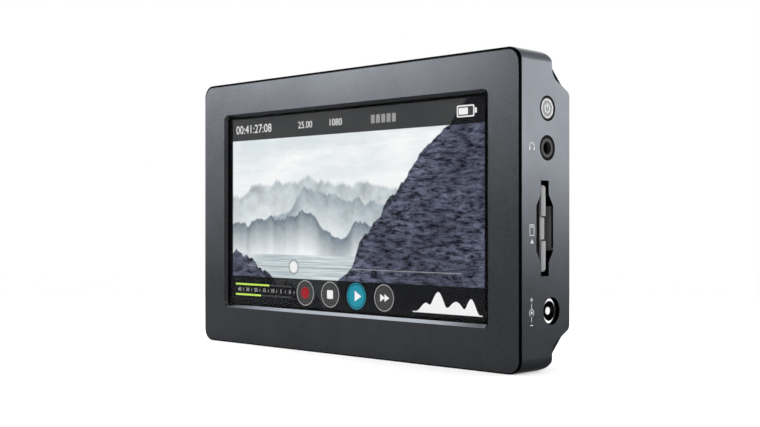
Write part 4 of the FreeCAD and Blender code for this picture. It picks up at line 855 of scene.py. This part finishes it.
def flat_digits(name, side, centre, digits, size, align="CENTER"):
    """Figures as a thin plate."""
    deselect_all()
    bpy.ops.object.text_add(location=centre, rotation=side[0])
    words = bpy.context.active_object
    words.data.body = digits
    words.data.size = size * MM
    words.data.align_x = align
    words.data.align_y = "CENTER"
    words.data.extrude = PRINT / 2
    words.data.resolution_u = 4
    bpy.ops.object.convert(target="MESH")
    piece = opened(name)
    merge_doubles()
    deselect_all()
    return piece


# Lit marks lie in layers before the panel, the first of them a gap away
FIRST_GAP = 0.012
LAYER_STEP = 0.022


def on_screen(x, z, layer=0):
    """A place between the panel and the glass."""
    return (x * MM, panel_low.y - (FIRST_GAP + LAYER_STEP * layer) * MM, z * MM)


lit_white = lit("lit_white", grey(0.90), grey(0.82))
lit_grey = lit("lit_grey", grey(0.34), grey(0.28))
lit_pale = lit("lit_pale", grey(0.55), grey(0.48))
lit_dim = lit("lit_dim", grey(0.055), grey(0.04))
lit_teal = lit("lit_teal", rgb(0.010, 0.30, 0.40), rgb(0.008, 0.24, 0.33))
lit_red = lit("lit_red", rgb(0.36, 0.010, 0.018), rgb(0.28, 0.008, 0.014))
lit_green = lit("lit_green", rgb(0.62, 0.88, 0.12), rgb(0.54, 0.80, 0.10))


def lit_plate(name, finish, x, z, width, height, corner=0.0, layer=0):
    """A lit plate on the screen."""
    settle(flat_plate(name, FRONT, on_screen(x, z, layer), width, height, corner), finish)


def lit_disc(name, finish, x, z, radius, hole=0.0, layer=0):
    """A lit disc or ring on the screen."""
    settle(flat_disc(name, FRONT, on_screen(x, z, layer), radius, hole), finish)


def right_arrow(name, x, z, radius):
    """A three-sided arrow head on the screen that points to the right."""
    place = on_screen(x, z, 1)
    return turned(flat_disc(name, FRONT, place, radius, corners=3), 90, place, "Y")


# Bottom bar: four round controls, each a rim and a disc inside it
CONTROL_LEVEL = 18.4
CONTROL_PLACES = (-18.4, -6.8, 4.9, 16.7)
CONTROL_RADIUS = 4.1
RIM_WIDTH = 0.35
DISC_INSET = 0.6


def round_control(name, x, disc_finish, rim_finish):
    """A lit disc with a rim."""
    lit_disc(name + "_rim", rim_finish, x, CONTROL_LEVEL, CONTROL_RADIUS, CONTROL_RADIUS - RIM_WIDTH)
    lit_disc(name + "_disc", disc_finish, x, CONTROL_LEVEL, CONTROL_RADIUS - DISC_INSET)


def screen_controls():
    """Record, stop, play and step, from left to right."""
    record, stop, play, step = CONTROL_PLACES
    round_control("record_control", record, lit_dim, lit_grey)
    lit_disc("record_dot", lit_red, record, CONTROL_LEVEL, 1.9, layer=1)
    round_control("stop_control", stop, lit_dim, lit_grey)
    lit_plate("stop_square", lit_white, stop, CONTROL_LEVEL, 2.7, 2.7, 0.3, layer=1)
    round_control("play_control", play, lit_teal, lit_teal)
    settle(right_arrow("play_arrow", play + 0.3, CONTROL_LEVEL, 1.9), lit_white)
    round_control("step_control", step, lit_dim, lit_grey)
    arrows = in_row(right_arrow("step_arrow", step - 0.9, CONTROL_LEVEL, 1.35), 2, (1.8, 0, 0))
    settle(joined("step_arrows", arrows), lit_white)


# Level meter: its figures, their pitch, and the way from a figure to its tick
METER_FIGURES = ("40", "30", "20", "15", "10", "5", "0")
METER_PITCH = 4.3
TICK_SHIFT = 2.1


def level_meter():
    """Two level lines with a row of figures and ticks between them, at the left of the bottom bar."""
    left, right = -53.7, -25.0
    for name, level, reach in (("upper", 20.1, -36.2), ("lower", 16.6, -40.4)):
        lit_plate(name + "_level_base", lit_dim, (left + right) / 2, level, right - left, 0.5, 0.1)
        lit_plate(name + "_level", lit_green, (left + reach) / 2, level, reach - left, 0.6, 0.12, layer=1)
    start, middle = left + 2.0, 18.3
    figures = [flat_digits("figure", FRONT, on_screen(start + count * METER_PITCH, middle), figure, 1.7)
               for count, figure in enumerate(METER_FIGURES)]
    tick = flat_plate("tick", FRONT, on_screen(start + TICK_SHIFT, middle), 0.16, 0.9)
    ticks = in_row(tick, len(METER_FIGURES), (METER_PITCH, 0, 0))
    settle(joined("level_figures", figures + ticks), lit_pale)


# Tone curve: the columns of its strip, and middle, height and spread of each crest
CURVE_COLUMNS = 90
CURVE_CRESTS = (
    (33.6, 2.6, 4.0),
    (38.2, 5.9, 4.4),
    (45.0, 3.4, 5.2),
    (50.6, 4.4, 3.2),
)


def histogram():
    """The tone curve at the right of the bottom bar, pulled up from a low strip."""
    left, right, foot, strip = 28.4, 54.6, 14.9, 0.3
    deselect_all()
    bpy.ops.mesh.primitive_grid_add(x_subdivisions=CURVE_COLUMNS, y_subdivisions=1, size=1, rotation=FRONT[0],
                                    location=on_screen((left + right) / 2, foot + strip / 2))
    bpy.context.active_object.scale = ((right - left) * MM, strip * MM, 1)
    piece = opened("tone_curve")
    for middle, height, spread in CURVE_CRESTS:
        crest = middle * MM
        pick(piece, "VERT", lambda vert: vert.co.z > (foot + 0.2) * MM and abs(vert.co.x - crest) < 0.16 * MM)
        bpy.ops.transform.translate(value=(0, 0, height * MM), use_proportional_edit=True,
                                    proportional_edit_falloff="SMOOTH", proportional_size=spread * MM,
                                    use_proportional_connected=True)
    pick(piece, "VERT", lambda vert: vert.index <= CURVE_COLUMNS)
    bpy.ops.transform.resize(value=(1, 1, 0), center_override=on_screen(0, foot))
    raised(piece, FRONT)
    settle(piece, lit_white)


def top_bar():
    """Time, small figures, a storage mark and a battery mark in the top bar."""
    level = 72.4
    time_figures = flat_digits("time_figures", FRONT, on_screen(-53.6, level), "00:41:27:08", 4.0, "LEFT")
    settle(time_figures, lit_white)
    small = [flat_digits("rate_figures", FRONT, on_screen(-18.5, level), "25.00", 3.1),
             flat_digits("line_figures", FRONT, on_screen(-4.5, level), "1080", 3.1)]
    settle(joined("small_figures", small), lit_white)
    storage = flat_plate("storage_bar", FRONT, on_screen(12.0, level), 1.6, 2.6, 0.25)
    settle(joined("storage_bars", in_row(storage, 5, (2.2, 0, 0))), lit_grey)
    lit_plate("battery_case", lit_white, 48.5, level, 6.4, 3.4, 0.5)
    lit_plate("battery_gap", lit_dim, 48.5, level, 5.6, 2.6, 0.3, layer=1)
    lit_plate("battery_charge", lit_white, 47.7, level, 3.4, 1.9, 0.15, layer=2)
    lit_plate("battery_tip", lit_white, 52.2, level, 0.7, 1.5, 0.15)


def place_line():
    """The thin line of the clip's length with its round knob."""
    level, knob = 26.6, -24.0
    lit_plate("place_line", lit_grey, 0, level, 94.0, 0.22)
    lit_disc("knob_rim", lit_grey, knob, level, 2.5, 2.1, layer=1)
    lit_disc("line_knob", lit_white, knob, level, 1.75, layer=1)


screen_controls()
level_meter()
histogram()
top_bar()
place_line()

# Printed marks on the right side and on the power button
ink = printed("pale_ink", grey(0.34), grey(0.27))
bright_ink = printed("button_ink", grey(0.36), grey(0.31))
# Line along which the side marks stand, and the width of their strokes
MARK_LINE = -6.2
STROKE = 0.22


def on_right(y, z):
    """A place on the right side face."""
    return (RIGHT_FACE - PRINT + PROUD, y * MM, z * MM)


def side_plate(name, y, z, width, height, corner=0.0):
    """A small plate of ink on the right side face."""
    return flat_plate(name, RIGHT, on_right(y, z), width, height, corner)


def power_mark():
    """Light ring, open circle and bar on the power button."""
    face = button_high.x
    y, z = BUTTON_MIDDLE.y / MM, BUTTON_MIDDLE.z / MM
    ring = flat_disc("button_ring", RIGHT, (face, y * MM, z * MM), 2.6, 2.32, corners=64)
    settle(ring, bright_ink, "power_button")
    circle = flat_disc("button_circle", RIGHT, (face, y * MM, z * MM), 1.25, 0.95,
                       keep=lambda spot: not (abs(spot.y - y) < 0.55 and spot.z > z))
    bar = flat_plate("button_bar", RIGHT, (face, y * MM, (z + 0.75) * MM), 0.3, 1.3, 0.1)
    settle(joined("button_mark", [circle, bar]), bright_ink, "power_button")


def headphone_mark():
    """A head band with two cups, in front of the headphone jack."""
    y, z = MARK_LINE, 61.7
    band = flat_disc("band", RIGHT, on_right(y, z), 1.15, 0.9, keep=lambda spot: spot.z > z - 0.15)
    cups = in_row(side_plate("cup", y - 1.02, z - 0.55, 0.5, 0.95, 0.15), 2, (0, 2.04, 0))
    settle(joined("headphone_mark", [band] + cups), ink)


def card_mark():
    """The outline of a card with its contacts, and an arrow, in front of the card slot."""
    y, z = MARK_LINE, 39.0
    sides = in_row(side_plate("edge", y - 0.95, z, STROKE, 2.9), 2, (0, 1.9, 0))
    ends = in_row(side_plate("end", y, z - 1.45, 2.1, STROKE), 2, (0, 0, 2.9))
    contacts = in_row(side_plate("contact", y - 0.45, z + 0.9, STROKE, 0.6), 3, (0, 0.45, 0))
    arrow = flat_disc("arrow", RIGHT, on_right(y, z - 3.2), 0.85, corners=3)
    settle(joined("card_mark", sides + ends + contacts + [arrow]), ink)


def inlet_mark():
    """The sign of a plus centre: minus ring, dot and plus, in front of the power inlet."""
    y, z = -6.4, 16.6
    ring = flat_disc("ring", RIGHT, on_right(y, z), 1.05, 0.83,
                     keep=lambda spot: spot.z > z - 0.55 or abs(spot.y - y) > 0.5)
    parts = [ring, flat_disc("dot", RIGHT, on_right(y, z), 0.42, corners=24)]
    for name, rise, width, height in (("stem", 1.8, STROKE, 1.4), ("plus_bar", 3.5, 1.3, 0.24),
                                      ("plus_stem", 3.5, 0.24, 1.3), ("lower_stem", -1.8, STROKE, 1.4),
                                      ("minus_bar", -3.4, 1.3, 0.24)):
        parts.append(side_plate(name, y, z + rise, width, height))
    settle(joined("inlet_mark", parts), ink)


power_mark()
headphone_mark()
card_mark()
inlet_mark()

# Memory card: shell with a cut corner and a finger grip, a dark label that also stands as painted shade on
# its face, and contact pads
CARD_BODY = "memory_card"
CARD_CUT = 4.0
CARD_ROUND = 1.0
CARD_EDGE = 0.12
NEAR_FACE = 0.1 * MM
# Finger grip in the outer end: its middle, the cuts above and below it, and each band's inner and outer cut
# and depth
GRIP_LEVEL = 39.4
GRIP_CUTS = (3.45, 3.36, 3.08, 2.99)
GRIP_BANDS = ((3.08, 3.36, 1.1), (0.0, 2.99, 0.45))
GRIP_NEAR = 0.02
LABEL_START = 43.0
LABEL_WIDTH = 22.6
PAD_COUNT = 8
PAD_PITCH = 2.4
dark_label_and_shade = printed("dark_label_and_shade", grey(0.016), grey(0.010))
label_pale = printed("label_pale", grey(0.52), grey(0.46))


def card_shell():
    """The card's shell, shaped from a block of the card's size."""
    low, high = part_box("memory_card")
    span = high - low
    deselect_all()
    bpy.ops.mesh.primitive_cube_add(size=1, location=(low + high) / 2)
    bpy.context.active_object.scale = span
    piece = opened("card_shell")

    def corner(edge, first):
        """Edges through the thickness, at the cut corner or at the others."""
        ends = [vert.co for vert in edge.verts]
        through = abs(ends[0].y - ends[1].y) > span.y / 2
        cut = ends[0].x < low.x + NEAR_FACE and ends[0].z > high.z - NEAR_FACE
        return through and cut == first

    pick(piece, "EDGE", lambda edge: corner(edge, True))
    bpy.ops.mesh.bevel(offset=CARD_CUT * MM, segments=1)
    pick(piece, "EDGE", lambda edge: corner(edge, False) and abs(edge.verts[0].co.x - low.x) > NEAR_FACE)
    bpy.ops.mesh.bevel(offset=CARD_ROUND * MM, segments=4)
    deselect_all()
    with_modifier(piece, "BEVEL", width=CARD_EDGE * MM, segments=2, limit_method="ANGLE")
    reopened(piece)
    for reach in GRIP_CUTS:
        for side in (-1, 1):
            cut_across((GRIP_LEVEL + side * reach) * MM)

    def end_row(vert, inner, outer):
        """Points of the outer end, in a band on either side of the grip's middle."""
        away = abs(vert.co.z / MM - GRIP_LEVEL)
        return vert.co.x > high.x - 2 * NEAR_FACE and inner - GRIP_NEAR < away < outer + GRIP_NEAR

    for inner, outer, depth in GRIP_BANDS:
        pick(piece, "VERT", lambda vert: end_row(vert, inner, outer))
        bpy.ops.transform.translate(value=(-depth * MM, 0, 0))
    deselect_all()
    settle(piece, FINISHES["card_grey"], CARD_BODY)
    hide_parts("memory_card")
    # The dark label reaches the card's outer end: a print, and painted shade on the card's face
    label_end = high.x / MM - 0.6
    label_middle = ((LABEL_START + label_end) / 2 * MM, low.y, (low.z + high.z) / 2)
    label = flat_plate("card_label_and_shade", FRONT, label_middle, label_end - LABEL_START, LABEL_WIDTH, 0.8)
    settle(label, dark_label_and_shade, CARD_BODY)
    band = flat_plate("label_band", FRONT, (54.0 * MM, low.y - PRINT, high.z - 6.0 * MM), 18.4, 3.0, 0.4)
    settle(band, label_pale, CARD_BODY)
    pad = flat_plate("card_pad", BACK, (low.x + 4.0 * MM, high.y, low.z + 3.0 * MM), 4.2, 1.3, 0.25)
    pads = in_row(pad, PAD_COUNT, (0, 0, PAD_PITCH))
    settle(joined("card_pads", pads), FINISHES["contact_gold"], CARD_BODY)


card_shell()

# Finger slope: its low and high corner, how far it falls, and the foot and step of the ledge
SLOPE_LOW = (67.02, 0.95, 33.35)
SLOPE_HIGH = (68.5, 3.5, 45.55)
SLOPE_FALL = 1.2
SLOPE_EDGE = 0.04
LEDGE_LEVELS = (34.0, 34.1)
LEDGE_STEP = 0.3


def finger_slope():
    """The slope behind the card that lets a finger reach it, with a ledge at its foot."""
    low, high = Vector(SLOPE_LOW) * MM, Vector(SLOPE_HIGH) * MM
    near = 0.05 * MM
    deselect_all()
    bpy.ops.mesh.primitive_cube_add(size=1, location=(low + high) / 2)
    bpy.context.active_object.scale = high - low
    piece = opened("finger_slope")
    pick(piece, "VERT", lambda vert: vert.co.x > high.x - near and vert.co.y < low.y + near)
    bpy.ops.transform.translate(value=(-SLOPE_FALL * MM, 0, 0))
    for level in LEDGE_LEVELS:
        cut_across(level * MM)
    pick(piece, "VERT", lambda vert: vert.co.z < LEDGE_LEVELS[0] * MM + near and vert.co.x > low.x + near)
    bpy.ops.transform.translate(value=(LEDGE_STEP * MM, 0, 0))
    deselect_all()
    with_modifier(piece, "BEVEL", width=SLOPE_EDGE * MM, segments=2, limit_method="ANGLE")
    settle(piece, FINISHES["case_metal"])


finger_slope()


def latch_coil(side):
    """One coil, a copy of the frame's spring with its doubled points merged."""
    source = nodes["latch_spring_" + side]
    piece = bpy.data.objects.new("spring_coil_" + side, source.data.copy())
    bpy.context.scene.collection.objects.link(piece)
    reopened(piece)
    merge_doubles()
    settle(piece, FINISHES["screw_steel"])
    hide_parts("latch_spring_" + side)
    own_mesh(piece)


latch_coil("left")
latch_coil("right")

# Camera threads: a ridge wound up the bore of each insert
THREAD_PITCH = 1.27
THREAD_TURNS = 4
THREAD_RADIUS = 2.5
THREAD_START = 0.75
THREAD_STEPS = 40
RIDGE_RADIUS = 0.36


def thread_ridge(end):
    """A three-sided ridge, wound with the screw modifier."""
    low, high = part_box("thread_insert_" + end)
    axis = Vector(((low.x + high.x) / 2, (low.y + high.y) / 2, low.z + THREAD_START * MM))
    deselect_all()
    bpy.ops.mesh.primitive_circle_add(vertices=3, radius=RIDGE_RADIUS * MM, location=axis, rotation=FRONT[0])
    piece = bpy.context.active_object
    piece.name = "thread_ridge_" + end
    bpy.ops.object.transform_apply(location=False, rotation=True, scale=True)
    bpy.ops.object.mode_set(mode="EDIT")
    bpy.ops.mesh.select_all(action="SELECT")
    bpy.ops.transform.rotate(value=math.radians(90), orient_axis="Y", center_override=axis)
    bpy.ops.transform.translate(value=(THREAD_RADIUS * MM, 0, 0))
    bpy.ops.object.mode_set(mode="OBJECT")
    with_modifier(piece, "SCREW", axis="Z", screw_offset=THREAD_PITCH * MM, iterations=THREAD_TURNS,
                  steps=THREAD_STEPS, render_steps=THREAD_STEPS)
    bpy.ops.object.transform_apply(location=True, rotation=True, scale=True)
    bpy.ops.object.mode_set(mode="EDIT")
    bpy.ops.mesh.select_all(action="SELECT")
    bpy.ops.mesh.fill_holes(sides=3)
    settle(piece, FINISHES["insert_steel"])


thread_ridge("bottom")
thread_ridge("top")

# Left side: contact strips on the video tongues, gold tips on the coaxial pins, arrows in and out
TONGUE_HALF = 0.55
CONTACT_PITCH = 1.04
CONTACT_COUNT = 10
CONTACT_START = 2.0
CONTACT_LENGTH = 3.2
CONTACT_WIDTH = 0.5
TIP_RADIUS = 0.53
TIP_LENGTH = 3.4 * MM
TIP_PROUD = 0.03 * MM
TIP_ROUND = 0.2


def video_contacts(name):
    """Two rows of contact strips on the tongue of one socket."""
    low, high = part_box(name + "_core")
    middle = (low + high) / 2
    strips = []
    for side, face in ((FRONT, middle.y - TONGUE_HALF * MM), (BACK, middle.y + TONGUE_HALF * MM)):
        start = middle.z - (CONTACT_COUNT - 1) / 2 * CONTACT_PITCH * MM
        place = (low.x + CONTACT_START * MM, face, start)
        strip = flat_plate("strip", side, place, CONTACT_LENGTH, CONTACT_WIDTH, 0.12)
        strips += in_row(strip, CONTACT_COUNT, (0, 0, CONTACT_PITCH))
    settle(joined(name + "_contacts", strips), FINISHES["contact_gold"])


def coax_tip(name):
    """A gold tip with a rounded end over the centre pin."""
    low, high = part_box(name + "_core")
    middle = (low + high) / 2
    deselect_all()
    bpy.ops.mesh.primitive_cylinder_add(vertices=24, radius=TIP_RADIUS * MM, depth=TIP_LENGTH,
                                        rotation=(0, math.radians(90), 0),
                                        location=(low.x + TIP_LENGTH / 2 - TIP_PROUD, middle.y, middle.z))
    piece = opened(name + "_tip")
    pick(piece, "EDGE", lambda edge: all(vert.co.x < low.x for vert in edge.verts))
    bpy.ops.mesh.bevel(offset=TIP_ROUND * MM, segments=3)
    settle(piece, FINISHES["contact_gold"])


def flow_arrow(name, inward):
    """A small arrow beside a socket, to it or away from it."""
    low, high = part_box(name)
    place = (LEFT_FACE + PRINT - PROUD, MARK_LINE * MM, (low.z + high.z) / 2)
    arrow = flat_disc(name + "_arrow", LEFT, place, 1.0, corners=3)
    settle(turned(arrow, -90 if inward else 90, place, "X"), ink)


for socket, inward in (("video_in", True), ("video_out", False)):
    video_contacts(socket)
    flow_arrow(socket + "_shell", inward)
for socket, inward in (("coax_in", True), ("coax_out", False)):
    coax_tip(socket)
    flow_arrow(socket + "_barrel", inward)

# Battery trays: poles by the contacts and an arrow for the way in
BAY_FLOOR = 5.6
TRAY_PLACES = (("left", -32.0), ("right", 32.0))
POLE_LEVEL = 66.2
POLE_SHIFT = 9.0
POLE_LENGTH = 2.4
POLE_WIDTH = 0.5
tray_ink = printed("tray_ink", grey(0.18), grey(0.14))


def tray_marks(side, middle):
    """Plus, minus and a slide arrow on the floor of one tray."""
    def on_floor(x, z):
        """A place on the tray floor."""
        return ((middle + x) * MM, BAY_FLOOR * MM, z * MM)

    plus, minus = on_floor(POLE_SHIFT, POLE_LEVEL), on_floor(-POLE_SHIFT, POLE_LEVEL)
    marks = [flat_plate("plus_bar", BACK, plus, POLE_LENGTH, POLE_WIDTH),
             flat_plate("minus_bar", BACK, minus, POLE_LENGTH, POLE_WIDTH),
             flat_plate("plus_stem", BACK, plus, POLE_WIDTH, POLE_LENGTH),
             flat_plate("arrow_stem", BACK, on_floor(0, 34.0), 1.6, 8.0, 0.2),
             flat_disc("arrow_head", BACK, on_floor(0, 39.4), 2.6, corners=3)]
    settle(joined("tray_marks_" + side, marks), tray_ink)


for tray_side, tray_middle in TRAY_PLACES:
    tray_marks(tray_side, tray_middle)
